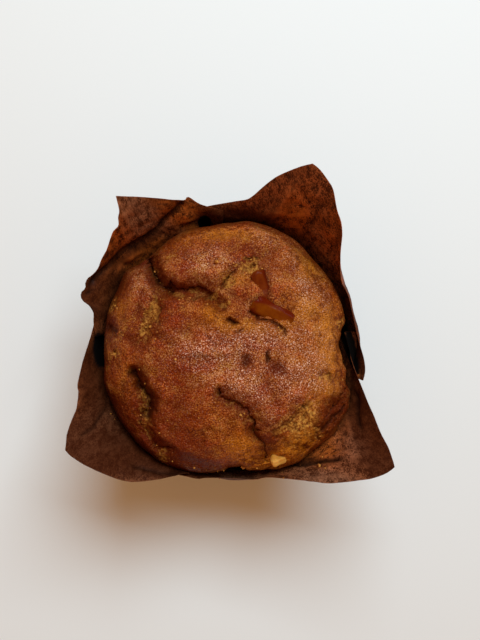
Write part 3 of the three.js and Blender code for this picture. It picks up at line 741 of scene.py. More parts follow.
def crust_finish(look):
    """Baked crust and torn crumb: mottled orange brown with pale specks and dark pores, painted
    sheen and highlights, and toasting with painted shade in the splits and hollows.
    """
    finish = Finish("crust_and_crumb", Specular_IOR_Level=0.06)
    here = finish.here()
    broad = finish.noise(here, 75.0, 3.0, 0.5)
    patchy = finish.noise(here, 260.0, 4.0, 0.6)
    speck = finish.noise(here, 2400.0, 3.0, 0.7)
    dots = finish.noise(here, 2700.0, 1.0, 0.5, 0.3)
    hue = finish.noise(here, 190.0, 4.0, 0.6, 0.4)
    crumbly = finish.noise(here, 1500.0, 3.0, 0.7)
    ragged = finish.noise(here, 800.0, 4.0, 0.7)
    pores = finish.grain(here, 1500.0, 0.9, 0.0006)

    tone = finish.times(broad, 0.35, finish.times(patchy, 0.3, speck))
    baked = finish.ramp(
        finish.times(tone, 1.0, -0.325), (0.38, look.dark_specks), (0.46, look.baked_red),
        (0.53, look.baked_light), (0.66, look.pale_specks))
    baked = finish.blend(finish.ramp(hue, (0.5, 0.0), (0.64, 1.0)), baked, REDDER, "MULTIPLY")
    baked = finish.blend(finish.ramp(hue, (0.36, 1.0), (0.48, 0.0)), baked, YELLOWER, "MULTIPLY")
    # Bloom is painted sheen; red is dark red crust and painted shade at the lobes' lower edges.
    for name, colour, *stops in (
            ("orange", look.orange, (0.4, 0.0), (0.58, 0.75)),
            ("golden", look.golden, (0.38, 0.3), (0.56, 0.95)),
            ("bloom", look.bloom, (0.46, 0.0), (0.64, 0.6)),
            ("red", look.hard_baked_and_shade, (0.36, 1.0), (0.64, 0.45))):
        baked = finish.coat(baked, name, finish.ramp(speck, *stops), colour)
    baked = finish.blend(finish.ramp(dots, (0.34, 0.6), (0.44, 0.0)), baked, look.dark_specks)
    # Painted highlights: small pale glints, most where the painted sheen is.
    painted_glint = finish.times(finish.value("bloom"), 0.75, 0.12)
    painted_glint = finish.times(painted_glint, finish.ramp(dots, (0.6, 0.0), (0.67, 1.0)))
    baked = finish.blend(painted_glint, baked, look.painted_glints)
    # Toasting and painted shade over the edges, creases and hollows.
    baked = finish.coat(baked, "toast", finish.ramp(speck, (0.35, 1.0), (0.65, 0.55)), look.toasted)

    crumb = finish.blend(finish.ramp(crumbly, (0.4, 0.0), (0.58, 1.0)), look.crumb_dark,
                         look.crumb_light)
    # The torn crumb too is darkened by toasting and painted shade.
    crumb = finish.coat(crumb, "toast", 0.45, look.toasted)
    torn = finish.times(ragged, 1.6, finish.times(finish.value("crumb"), 1.0, -0.8))
    colour = finish.blend(finish.ramp(torn, (0.22, 0.0), (0.58, 0.9)), baked, crumb)
    # Painted shade in the bottom of the deep splits and the pits.
    colour = finish.coat(colour, "depth", 0.85, look.deep)
    colour = finish.blend(finish.times(pores, 0.2), colour, look.dark_specks)
    rough = finish.times(speck, 0.3, 0.26)
    finish.surface(Base_Color=colour, Roughness=finish.times(finish.value("damp"), -0.42, rough))
    return finish.material


def paper_finish(look):
    """Dark greaseproof paper: fibrous mottling in the sheet, a waxy sheen with painted sheen on the
    dry paper, worn creases lightened partly as painted highlight, painted light let through, and
    painted shade in the creases and slits.
    """
    finish = Finish("greaseproof_paper", Specular_IOR_Level=0.06)
    sheet = finish.add("ShaderNodeUVMap", uv_map="UVMap").outputs["UV"]
    drawn = finish.add("ShaderNodeMapping", {
        "Vector": sheet, "Rotation": (0.0, 0.0, 0.7), "Scale": (1.0, 0.65, 1.0)}).outputs["Vector"]
    fibre = finish.noise(drawn, 270.0, 4.0, 0.6, 2.2)
    blotch = finish.noise(sheet, 60.0, 4.0, 0.65, 0.5)
    stain = finish.noise(finish.here(), 60.0, 3.0, 0.55)
    # Dull paper: dry and greyish, with a painted sheen where it catches the light.
    light = finish.blend(finish.value("dull_and_sheen"), look.paper_light, look.paper_dull_and_sheen)
    light = finish.coat(light, "warm", 1.0, look.paper_warm)
    # Glow: painted light let through the paper, which brightens its colour.
    light = finish.coat(light, "glow", 1.0, finish.blend(1.0, light, LIT_THROUGH, "MULTIPLY"))
    mottle = finish.times(blotch, 0.55, finish.times(fibre, 1.0, -0.275))
    # The glow also lightens the mottling a little, as painted light.
    mottle = finish.times(finish.value("glow"), 0.012, mottle)
    colour = finish.blend(finish.ramp(mottle, (0.41, 0.0), (0.51, 0.35), (0.62, 1.7)),
                          look.paper_dark_and_shade, light)
    colour = finish.blend(finish.ramp(stain, (0.45, 0.0), (0.65, 0.4)), colour, look.paper_dark_and_shade)
    streak = finish.times(finish.ramp(finish.value("streak"), (0.5, 0.0), (0.68, 1.0)), 0.7)
    # Worn lightens the ridges and the rim, partly wear and partly painted highlight; dark, shaded
    # and unlit are painted shade.
    for name, strength, over in (
            ("warm", streak, look.paper_warm), ("worn", 0.4, light),
            ("dark", 0.75, look.paper_dark_and_shade), ("shaded", 0.85, SHADED_PAPER),
            ("unlit", 1.0, UNLIT_PAPER), ("greased", 1.0, look.paper_greased)):
        colour = finish.coat(colour, name, strength, over)
    rough = finish.times(fibre, 0.3, finish.times(finish.value("unlit"), 0.5, 0.4))
    finish.surface(Base_Color=colour, Roughness=rough)
    finish.grain(sheet, 240.0, 0.35, 0.0003)
    return finish.material


def fruit_finish(name, inner, skin, roughness, translucency):
    """Cooked fruit: slightly clouded flesh with a darker, sticky edge."""
    finish = Finish(name, Roughness=roughness, Specular_IOR_Level=0.05,
                    Subsurface_Weight=translucency, Subsurface_Scale=0.0012,
                    Subsurface_Radius=(1.0, 0.4, 0.12))
    here = finish.here()
    cloud = finish.noise(here, 420.0, 4.0, 0.6)
    colour = finish.blend(finish.ramp(cloud, (0.35, 0.0), (0.7, 0.5)), inner, skin)
    finish.surface(Base_Color=finish.coat(colour, "skin", 1.0, skin))
    finish.grain(here, 1100.0, 0.25, 0.0003)
    return finish.material


def crumb_finish(look):
    """Loose crumbs, some pale and some baked, in the cake's own colours."""
    finish = Finish("loose_crumb", Roughness=0.7, Specular_IOR_Level=0.2)
    here = finish.here()
    kind = finish.ramp(finish.noise(here, 500.0, 2.0, 0.5), (0.42, 0.0), (0.56, 1.0))
    colour = finish.blend(kind, look.crumb_dark, look.crumb_light)
    fine = finish.times(finish.noise(here, 3000.0), 0.5)
    finish.surface(Base_Color=finish.blend(fine, colour, look.crumb_dark))
    return finish.material


def floor_finish(look):
    """A pale floor with faint, broad clouds."""
    finish = Finish("pale_floor", Roughness=0.6, Specular_IOR_Level=0.2)
    cloud = finish.times(finish.noise(finish.here(), 6.0, 2.0, 0.5), 0.15)
    darker = [value * 0.93 for value in look.floor]
    finish.surface(Base_Color=finish.blend(cloud, look.floor, darker))
    return finish.material


# ---- Settings -----------------------------------------------------------------------------

def colour_setting(name, description, default):
    return bpy.props.FloatVectorProperty(
        name=name, description=description, default=default, subtype="COLOR", min=0.0, max=1.0)


def length_setting(name, description, default, most=100.0):
    return bpy.props.FloatProperty(
        name=name, description=description, default=default * MM, min=0.0, max=most * MM,
        subtype="DISTANCE", unit="LENGTH")


class MUFFIN_PG_case(bpy.types.PropertyGroup):
    """Sizes and colours of the paper case"""
    paper: length_setting("Paper", "Thickness of the paper", 0.13, 1.0)
    layer_gap: length_setting("Layer Gap", "From one layer of a fold to the next", 0.36, 2.0)
    crumple: length_setting("Crumple", "Height of the crumples in the petals", 0.55, 3.0)
    columns: bpy.props.IntProperty(
        name="Columns", description="Strips of mesh in half a petal", default=50, min=8, max=120)
    rows: bpy.props.IntProperty(
        name="Rows", description="Rows of mesh from base to rim", default=88, min=12, max=160)
    # Dark fibres, whose colour also paints the shade in the creases and slits.
    paper_dark_and_shade: colour_setting("Dark Paper", "The paper's dark fibres", (0.04, 0.0075, 0.002))
    paper_light: colour_setting("Light Paper", "The paper's light fibres", (0.25, 0.066, 0.02))
    paper_warm: colour_setting("Warm Paper", "Paper soaked with butter", (0.4, 0.095, 0.014))
    # Dull paper, dry and greyish, also carries the painted sheen.
    paper_dull_and_sheen: colour_setting("Dull Paper", "Dry, greyish paper", (0.28, 0.11, 0.054))
    paper_greased: colour_setting(
        "Greased Paper", "Paper soaked by the cake", (0.028, 0.006, 0.002))


class MUFFIN_PG_cake(bpy.types.PropertyGroup):
    """Sizes and colours of the cake"""
    crown_edge: length_setting("Crown Edge", "Height of the crown's widest edge", 49.0)
    dome_height: length_setting("Dome Height", "Rise of the dome above that edge", 20.0)
    grain: length_setting("Grain", "Depth of the crust's own grain", 0.17, 1.0)
    cells: bpy.props.IntProperty(
        name="Cells", description="Faces across the crown", default=270, min=40, max=290)
    baked_light: colour_setting("Light Crust", "Lightly baked crust", (0.37, 0.08, 0.0055))
    baked_red: colour_setting("Red Crust", "Reddish blotches", (0.21, 0.026, 0.002))
    orange: colour_setting("Orange Crust", "Orange, lightly baked crust", (0.44, 0.098, 0.004))
    golden: colour_setting("Golden Crust", "Golden, least baked crust", (0.66, 0.215, 0.01))
    # Dark red crust, also laid as painted shade at the lobes' lower edges.
    hard_baked_and_shade: colour_setting("Hard Baked Crust", "Dark red crust", (0.17, 0.017, 0.0014))
    # Painted sheen: pale colour where the crust's gloss catches the light.
    bloom: colour_setting("Bloom", "Pale, dry bloom on the crust", (0.54, 0.2, 0.11))
    # Colour of toasting and of the painted shade in creases, hollows and the rim.
    toasted: colour_setting("Toasted", "Toasted edges and creases", (0.095, 0.0095, 0.0009))
    # Painted highlights: small pale glints where the crust catches the light.
    painted_glints: colour_setting("Glints", "Sugar that catches the light", (0.9, 0.56, 0.42))
    pale_specks: colour_setting("Pale Specks", "Sugar specks in the crust", (0.6, 0.235, 0.065))
    dark_specks: colour_setting("Dark Specks", "Dark pores in the crust", (0.13, 0.016, 0.0016))
    crumb_light: colour_setting("Light Crumb", "Torn yellow crumb", (0.7, 0.3, 0.05))
    crumb_dark: colour_setting("Dark Crumb", "Moist brown crumb", (0.2, 0.036, 0.003))
    # Painted shade in the bottom of the deep splits and pits.
    deep: colour_setting("Deep Splits", "Bottom of the deep splits", (0.034, 0.005, 0.001))


class MUFFIN_PG_fruit(bpy.types.PropertyGroup):
    """Colours of the fruit pieces"""
    amber: colour_setting("Amber Flesh", "Cooked amber fruit", (0.21, 0.044, 0.001))
    amber_skin: colour_setting("Amber Skin", "Its dark red edge", (0.11, 0.008, 0.001))
    pale: colour_setting("Pale Flesh", "Pale fruit", (0.95, 0.52, 0.12))
    red: colour_setting("Red Flesh", "Cooked red fruit", (0.16, 0.024, 0.0016))
    red_skin: colour_setting("Red Skin", "Its dark edge", (0.09, 0.007, 0.001))
    pale_skin: colour_setting("Pale Skin", "Its amber edge", (0.5, 0.2, 0.03))


class MUFFIN_PG_crumbs(bpy.types.PropertyGroup):
    """Amount and size of the loose crumbs"""
    scattered: bpy.props.IntProperty(
        name="Scattered", description="Crumbs strewn all over the crown", default=60, min=0,
        max=500)
    largest: length_setting("Largest", "Radius of the largest crumb", 0.6, 3.0)


class MUFFIN_PG_stage(bpy.types.PropertyGroup):
    """Floor, lights and camera"""
    floor: colour_setting("Floor", "Colour of the floor", (0.82, 0.82, 0.815))
    window: colour_setting("Window", "Colour of the large soft light", (0.64, 0.84, 0.945))
    window_power: bpy.props.FloatProperty(
        name="Window Power", description="Power of the large soft light", default=8.9, min=0.0,
        max=1000.0, subtype="POWER", unit="POWER")
    room: colour_setting("Room", "Colour of the light from all round", (1.0, 0.53, 0.24))
    room_strength: bpy.props.FloatProperty(
        name="Room Strength", description="Strength of the light from all round", default=0.42,
        min=0.0, max=10.0)
    camera_height: length_setting("Camera Height", "Height of the camera", 334.0, 2000.0)


# ---- Building the paper case --------------------------------------------------------------

def smooth_curve(points, count):
    """`count` places evenly spaced along a smooth curve through the points."""
    points = np.array(points, float)
    before = np.vstack([2 * points[0] - points[1], points[:-2]])
    after = np.vstack([points[2:], 2 * points[-1] - points[-2]])
    dense = []
    for p0, p1, p2, p3 in zip(before, points[:-1], points[1:], after):
        for t in np.linspace(0.0, 1.0, CURVE_STEPS, endpoint=False):
            dense.append(p1 + 0.5 * t * (p2 - p0 + t * (2 * p0 - 5 * p1 + 4 * p2 - p3
                                                     + t * (3 * (p1 - p2) + p3 - p0))))
    dense = np.array(dense + [points[-1]])
    run = np.concatenate([[0.0], np.cumsum(np.linalg.norm(np.diff(dense, axis=0), axis=1))])
    wanted = np.linspace(0.0, run[-1], count)
    return np.stack([np.interp(wanted, run, dense[:, axis]) for axis in range(3)], axis=1)


def wall_and_flare(base, rim, radius, height, layer, gap, share):
    """The places of strips of paper at shares of their length, wall first, then flare."""
    degrees = mix(base[:, None], rim[:, None], share[None, :])
    shift = (layer * gap)[:, None] * ease(share, 0.0, 0.2)[None, :]
    top = ring_radius(WALL_TOP, degrees) + shift + 0.5 * gap_width(degrees)
    wall = np.hypot(top - BASE_RADIUS, WALL_HEIGHT)
    out = radius[:, None] - top
    up = height[:, None] - WALL_HEIGHT
    flare = np.hypot(out, up)
    bend = wall / (wall + flare)
    low = np.clip(share[None, :] / bend, 0.0, 1.0)
    high = np.clip((share[None, :] - bend) / (1.0 - bend), 0.0, 1.0)
    reach = 0.5 * flare / wall
    knee_out, knee_up = (top - BASE_RADIUS) * reach, WALL_HEIGHT * reach
    pull = 2.0 * high * (1.0 - high)
    on_wall = np.stack([mix(BASE_RADIUS, top, low) + shift * (1.0 - low), WALL_HEIGHT * low])
    on_flare = np.stack([top + pull * knee_out + high ** 2 * out,
                         WALL_HEIGHT + pull * knee_up + high ** 2 * up])
    r, z = np.where(share[None, :] <= bend, on_wall, on_flare)
    return polar(r, np.radians(degrees), z)


def level_directions(strip):
    """The level directions outward and anticlockwise at each place of a strip."""
    out = strip * LEVEL
    out /= np.linalg.norm(out, axis=1)[:, None]
    return out, np.stack([-out[:, 1], out[:, 0], np.zeros(len(out))], axis=1)


def fold_between(last, first, side, gap, rows):
    """The strips that turn back between two petals, three layers thick where they overlap."""
    out_last, on_last = level_directions(last)
    out_first, on_first = level_directions(first)
    overlap = np.sum((last - first) * on_first, axis=1)
    folded = ease(overlap, 0.0, FULL_OVERLAP)[:, None]

    def bend(strip, out, on, way):
        """Half a circle of paper that turns back from a petal's edge."""
        for angle in np.radians(FOLD_TURNS):
            turn = out * side * (math.cos(angle) - 1.0) + on * math.sin(angle)
            yield strip + way * gap / 2.0 * turn

    turn_last = last - out_last * side * gap
    turn_first = first + out_first * side * gap
    sink = np.zeros((rows, 3))
    sink[:, 2] = FOLD_SINK * ease(np.linspace(0.0, 1.0, rows), 0.75, 1.0)
    strips = list(bend(last, out_last, on_last, 1.0))
    for share in np.linspace(0.0, 1.0, FOLD_STRIPS):
        strips.append(mix(turn_last, turn_first, share) - sink * (1.0 - (2.0 * share - 1.0) ** 4))
    strips += reversed(list(bend(first, out_first, on_first, -1.0)))
    return [mix(mix(last, first, (k + 1.0) / (len(strips) + 1.0)), strip, folded)
            for k, strip in enumerate(strips)]


def row_shares(rows):
    """Where the rows lie between base and rim: closer together in the petals."""
    even = np.linspace(0.0, 1.0, rows)
    return even * (1.0 + CROWDING - CROWDING * even)


def sheet_strips(half_columns, rows, gap):
    """All the strips of the sheet in order round the case, each with its outward directions."""
    share = row_shares(rows)
    petals = []
    for base, side, tip, rim_points in PETALS:
        angle, radius, height = np.array(rim_points, float).T
        rim = polar(radius, np.radians(angle), height)
        rise = smooth_curve(rim[:tip + 1], half_columns + 1)
        fall = smooth_curve(rim[tip:], half_columns + 1)[1:]
        edge = np.vstack([rise, fall])
        turned = np.degrees(np.unwrap(np.arctan2(edge[:, 1], edge[:, 0])))
        turned += 360.0 * round((rim_points[0][0] - turned[0]) / 360.0)
        along = np.linspace(0.0, 1.0, len(edge))
        layer = mix(*side, ease(along, 0.2, 0.8))
        strips = wall_and_flare(
            mix(*base, along), turned, np.hypot(edge[:, 0], edge[:, 1]), edge[:, 2],
            layer, gap, share)
        petals.append((strips, side[1]))
    strips = []
    for (own, side), (following, _) in zip(petals, petals[1:] + petals[:1]):
        strips.extend(own)
        strips.extend(fold_between(own[-1], following[0], side, gap, rows))
    strips = np.array(strips)
    up = np.gradient(strips, share, axis=1)
    out = strips * LEVEL
    out /= np.linalg.norm(out, axis=2)[:, :, None]
    climb = up[:, :, 2]
    spread = np.sum(up * out, axis=2)
    length = np.hypot(climb, spread) + 1e-9
    outward = out * (climb / length)[:, :, None]
    outward[:, :, 2] = -spread / length
    return strips, outward


def paper_relief(points, share, crumple):
    """How far the paper stands out of its smooth shape, its worn ridges, lightened partly as
    painted highlight, and the painted shade of its valleys.
    """
    petal = ease(share, CUP_END, 0.75)
    relief = crumple * petal * (ridges(points, 9.0, 3) - 0.2)
    relief += crumple * 0.45 * petal * (ridges(points, 3.4, 8, 2) - 0.2)
    relief *= 1.0 - 0.6 * ease(share, 0.88, 1.0)
    wall = (1.0 - petal) * ease(share, 0.02, 0.2)
    relief += 0.22 * wall * ridges(points * (1, 1, 0.18), 4.2, 5, 2)
    worn = np.zeros(len(points))
    shaded = np.zeros(len(points))
    for line, depth, half in PAPER_CREASES:
        away, _, ends = near_line(points[:, :2], line, taper=4.0)
        bend = np.exp(-away / half) * np.maximum(ends, 0.25 * (away < half))
        relief += depth * bend * petal * ends
        # Worn ridges are lightened, partly wear and partly painted highlight; shaded is the painted
        # shade of the valleys.
        worn += bell(away, 0.5) * ends * (depth < 0)
        shaded += depth * bell(away, 0.6) * ends * (depth > 0)
    return relief, worn * petal, shaded * petal


def paper_tones(place, share):
    """The stored tones of the petals by place."""
    tones = {}
    for name, ovals in PAPER_TONES.items():
        tone = np.zeros(len(place))
        for *oval, strength in ovals:
            tone += strength * np.minimum(1.0, 1.5 * in_oval(place, *oval))
        tones[name] = tone * ease(share, CUP_END, 0.6)
    return tones


def sheet_places(piece, column, reach, count):
    """Lays the strips out flat round the sheet's middle, as the piece's UV map."""
    spread = reach / UV_SIZE
    turn = 2.0 * np.pi * column / count
    flat = 0.5 + polar(spread, turn)
    owner = np.empty(len(piece.data.loops), dtype=np.int32)
    piece.data.loops.foreach_get("vertex_index", owner)
    layer = piece.data.uv_layers[0]
    layer.name = "UVMap"
    layer.data.foreach_set("uv", flat[owner].astype(np.float32).ravel())


def build_case(look):
    """The folded sheet, with the tones that its material reads."""
    half = look.paper / MM / 2.0
    strips, outward = sheet_strips(look.columns, look.rows, look.layer_gap / MM)
    foot = strips[:, :1] * LEVEL * np.array(BASE_RINGS)[None, :, None]
    strips = np.concatenate([foot, strips], axis=1)
    outward = np.concatenate([np.repeat(outward[:, :1], len(BASE_RINGS), axis=1), outward], axis=1)
    count, rows = strips.shape[:2]
    piece, column, row = new_grid("tulip_case", count, rows - 1)
    strips = np.concatenate([strips, strips[:1]])
    outward = np.concatenate([outward, outward[:1]])
    steps = np.linalg.norm(np.diff(strips, axis=1), axis=2)
    reach = np.concatenate([np.zeros((count + 1, 1)), np.cumsum(steps, axis=1)], axis=1)
    points = strips[column, row]
    share = row_shares(look.rows)[np.maximum(row - len(BASE_RINGS), 0)]
    relief, worn, shaded = paper_relief(points, share, look.crumple / MM)
    points = points + outward[column, row] * relief[:, None]
    unlit = np.zeros(len(points))
    for *oval, dip in SLITS:
        inside = in_oval(points[:, :2], *oval) * (share > 0.3)
        points[:, 2] -= dip * inside
        # The slits are painted unlit: painted shade.
        unlit += 1.2 * ease(inside, 0.35, 0.5)
    points[:, 2] = np.where(share > 0.0, np.maximum(points[:, 2], half), half)
    place_corners(piece, points * MM)

    round_case = np.arctan2(points[:, 1], points[:, 0])
    streaks = np.column_stack([round_case, points[:, 2], share]) * STREAK_SCALE
    # Worn lightens the ridges and the rim, partly wear and partly painted highlight; shaded and
    # unlit are painted shade.
    stored = {"worn": worn + 0.8 * (row == rows - 1), "shaded": shaded,
              **paper_tones(points[:, :2], share), "unlit": unlit,
              "streak": 0.5 + 0.5 * ripple(streaks, 1.0, 12),
              "greased": 0.5 * (1.0 - ease(share, CUP_END, 0.55))}
    for name, values in stored.items():
        give_values(piece, name, values)
    sheet_places(piece, column, reach[column, row], count)

    edit(piece)
    bpy.ops.mesh.select_all(action="SELECT")
    bpy.ops.mesh.remove_doubles(threshold=0.01 * MM)
    bpy.ops.mesh.normals_make_consistent(inside=False)
    bpy.ops.object.mode_set(mode="OBJECT")
    apply_modifier(piece, "SOLIDIFY", thickness=look.paper, offset=0.0, use_rim=True)
    facing = np.empty(len(piece.data.vertices) * 3)
    piece.data.vertices.foreach_get("normal", facing)
    outside = facing[2::3] < 0.0
    for name, kept in OUTSIDE_TONES:
        values = np.empty(len(outside), dtype=np.float32)
        piece.data.attributes[name].data.foreach_get("value", values)
        give_values(piece, name, np.where(outside, kept * values, values))
    return piece


# ---- Building the cake --------------------------------------------------------------------

class Crust:
    """The crown's surface while it is shaped: arrays with a number for each vertex."""

    def __init__(self, place, height):
        self.solid = np.column_stack([place, height])
        self.spot = place + sum(
            reach * np.column_stack([self.lumps(size, seed), self.lumps(size, seed + 1)])
            for reach, size, seed in WANDER)
        self.relief, self.crumb, self.toast, self.depth = np.zeros((4, len(place)))
        self.shift = np.zeros((len(place), 2))

    def lumps(self, size, seed):
        """Smooth noise from -1 to 1 over the crown."""
        return ripple(self.solid, size, seed)

    def cut_ledges(self):
        """Drops the floor beside each ledge, rounds the crust's edge and lets it hang over."""
        for line, drop, climb, lip, over, bare, dark in LEDGES:
            away, side, ends = near_line(self.spot, line, taper=2.5)
            at_edge = bell(away, 0.9)
            high = side > 0
            crust, floor = np.where(high, ends, 0.0), np.where(high, 0.0, ends)
            self.relief -= drop * np.exp(-away / climb) * ease(away, -0.25, 0.25) * floor
            rounding = 0.65 * drop * np.exp(-away / 1.2) - (0.5 + lip) * bell(away - 3.6, 2.2)
            self.relief -= rounding * crust
            normal = np.gradient(np.array(line, float), axis=0).mean(axis=0)
            normal = np.array([normal[1], -normal[0]]) / np.hypot(*normal)
            self.shift += (over * at_edge * crust)[:, None] * normal
            self.crumb += bare * bell(away - 1.4, climb) * floor
            # Toasting and painted shade at the ledge's edge and on the floor below it.
            browned_and_shaded = at_edge + np.where(high, 0.2, 0.8) * bell(away, 3.0)
            self.toast += dark * browned_and_shaded * ends
            # Painted shade in the bottom of the split.
            self.depth += bell(away, 0.4 * climb) * floor * min(1.0, drop / 1.6)

    def cut_grooves(self):
        """Cuts the narrow grooves, darkened beside them by toasting and painted shade, and with
        painted shade in the bottom.
        """
        for line, deep, half, dark in GROOVES:
            away, _, ends = near_line(self.spot, line, taper=1.5)
            self.relief -= deep * bell(away, half) * ends
            self.toast += dark * bell(away, 1.3 * half) * ends
            self.depth += bell(away, 0.6 * half) * ends * min(1.0, deep / 1.2)

    def sink_valleys(self):
        """Sinks the torn valleys and the hollows, and raises the swells."""
        for line, deep, half, bare, dark in VALLEYS:
            away, _, ends = near_line(self.spot, line, taper=3.0)
            floor = bell(away, half) * ends
            self.relief -= 1.3 * deep * floor
            self.crumb += bare * floor
            # Toasting and painted shade on the valley floor.
            self.toast += dark * floor
        for *oval, deep, dark in HOLLOWS:
            inside = in_oval(self.spot, *oval)
            self.relief -= deep * inside
            # Toasting and painted shade in the hollows.
            self.toast += dark * inside

    def tear(self):
        """Breaks the bare crumb into patches, adds the torn places and pits all of it."""
        self.crumb *= 1.25 * ease(self.lumps(3.4, 38), -0.15, 0.3)
        for *oval, strength in TORN:
            inside = in_oval(self.spot, *oval)
            self.crumb += strength * np.minimum(1.0, 1.6 * inside)
            self.relief -= 0.3 * strength * ease(inside, 0.25, 0.55)
        patches = 0.45 + 0.6 * ease(self.lumps(2.1, 40), -0.35, 0.35)
        self.crumb = np.clip(self.crumb, 0.0, 1.0) * patches
        pits = ease(self.lumps(1.4, 39), -0.1, 0.45)
        self.relief += self.crumb * (0.2 - 0.6 * pits)
        # Painted shade in the pits of the torn crumb.
        self.depth += 0.45 * ease(self.crumb, 0.1, 0.5) * pits

    def roughen(self, grain):
        """Adds the lumps from broad to fine, the veins and the pores. Returns the broad swell."""
        swell = 1.2 * self.lumps(12.0, 31) + 1.1 * self.lumps(5.5, 32)
        self.relief += swell + 0.34 * self.lumps(2.6, 33)
        self.relief += (grain + 0.22 * self.crumb) * self.lumps(1.1, 34)
        self.relief += (0.7 * grain + 0.1 * self.crumb) * self.lumps(0.6, 35)
        vein = np.abs(self.lumps(6.5, 41) + 0.25 * self.lumps(1.6, 42))
        vein = ease(vein, 0.07, 0.0) * ease(self.lumps(9.0, 43), -0.1, 0.35)
        pores = self.lumps(1.5, 36)
        self.relief -= 0.3 * vein + 0.22 * ease(pores, 0.42, 0.62)
        # Toasting and painted shade in the veins and the pores.
        self.toast += 0.75 * vein + 0.35 * ease(pores, 0.42, 0.6)
        return swell

    def toast_rim(self, place, out):
        """Darkens the crown's rim by toasting and painted shade: in blotches, at the back, and most
        of all at the lower left.
        """
        blotches = ease(self.lumps(1.5, 45) + 0.5 * self.lumps(4.5, 46), 0.08, 0.42)
        back = ease(place[:, 1] / CROWN_REACH, 0.5, 0.9)
        left = ease(place @ np.array(LOWER_LEFT) / CROWN_REACH, 0.05, 0.7)
        uneven = 0.6 + 0.4 * ease(self.lumps(7.0, 37), -0.35, 0.3)
        self.toast += 0.75 * ease(out, 0.74, 0.93) * blotches + 0.7 * ease(out, 0.93, 0.985) * back
        self.toast += (0.35 + 0.35 * left) * ease(out, 0.9 - 0.14 * left, 0.98) * uneven
        # Painted shade on the rim at the lower left.
        self.depth += 0.7 * left * ease(out, 0.93, 1.0)


def crust_shape(place, out, height, grain):
    """Heights, sideways shifts and the stored values of the crown's surface."""
    crust = Crust(place, height)
    crust.cut_ledges()
    crust.cut_grooves()
    crust.sink_valleys()
    crust.tear()
    swell = crust.roughen(grain)
    crust.toast_rim(place, out)
    # Painted shade in the broad hollows between the swells.
    crust.toast += 0.5 * ease(-swell, 0.2, 0.8)
    tones = {name: sum(strength * in_oval(crust.spot, *oval) for *oval, strength in ovals)
             for name, ovals in CRUST_TONES.items()}
    # The painted sheen is strongest on the tops of the swells, where the light falls.
    tones["bloom"] *= 0.4 + 1.1 * ease(swell, -0.5, 0.7)
    damp = sum(in_oval(place, x, y, radius, radius, 0) for x, y, radius in DAMP)
    stored = dict(crumb=crust.crumb, toast=crust.toast, depth=crust.depth, damp=damp, **tones)
    inner = 1.0 - ease(out, 0.955, 1.0)
    return crust.relief * inner, crust.shift * inner[:, None], stored


def build_cake(look):
    """The crown as a domed grid, with the cake's side and bottom drawn down from its edge."""
    cells = look.cells
    edge = look.crown_edge / MM
    piece, column, row = new_grid("cake", cells, cells)
    u = 2.0 * column / cells - 1.0
    v = 2.0 * row / cells - 1.0
    x = u * np.sqrt(1.0 - v * v / 2.0)
    y = v * np.sqrt(1.0 - u * u / 2.0)
    out = np.clip(np.hypot(x, y), 0.0, 1.0)
    angle = np.arctan2(y, x)
    out = out * (1.25 - 0.25 * out * out)
    even = np.mean([r for _, r in CROWN])
    radius = out * mix(even, ring_radius(CROWN, np.degrees(angle)), out ** 3)
    place = polar(radius, angle)
    height = edge + look.dome_height / MM * (1.0 - out ** 2.4) ** 0.6
    relief, shift, stored = crust_shape(place, out, height, look.grain / MM)
    points = np.column_stack([place + shift, height + relief])
    place_corners(piece, points * MM)
    for name, values in stored.items():
        give_values(piece, name, values)

    edit(piece)
    bpy.ops.mesh.select_mode(type="EDGE")
    bpy.ops.mesh.select_non_manifold()
    below = tuple((edge - down, share) for down, share in UNDER_EDGE)
    for level, crown_share in below + CAKE_LEVELS:
        bpy.ops.mesh.extrude_region_move()
        bpy.ops.object.mode_set(mode="OBJECT")
        picked = np.empty(len(piece.data.vertices), dtype=bool)
        piece.data.vertices.foreach_get("select", picked)
        points = corners(piece)
        ring = points[picked] / MM
        turn = np.arctan2(ring[:, 1], ring[:, 0])
        wall = mix(BASE_RADIUS, ring_radius(WALL_TOP, np.degrees(turn)), level / WALL_HEIGHT)
        inset = FOOT_INSET if level == CAKE_FOOT else CAKE_INSET
        inside = wall - inset - 0.5 * gap_width(np.degrees(turn))
        if crown_share > 0.0:
            crown = ring_radius(CROWN, np.degrees(turn)) * crown_share
            share = (level - CROWN_FOOT) / (edge - CROWN_FOOT)
            inside = np.minimum(crown, mix(inside, crown, share))
        points[picked] = polar(inside, turn, np.full(len(ring), level)) * MM
        place_corners(piece, points)
        bpy.ops.object.mode_set(mode="EDIT")
    bpy.ops.mesh.edge_face_add()
    bpy.ops.mesh.inset(thickness=BOTTOM_INSET * MM)
    bpy.ops.mesh.poke()
    bpy.ops.mesh.select_all(action="SELECT")
    bpy.ops.mesh.normals_make_consistent(inside=False)
    bpy.ops.object.mode_set(mode="OBJECT")
    return piece


# ---- Building the fruit -------------------------------------------------------------------

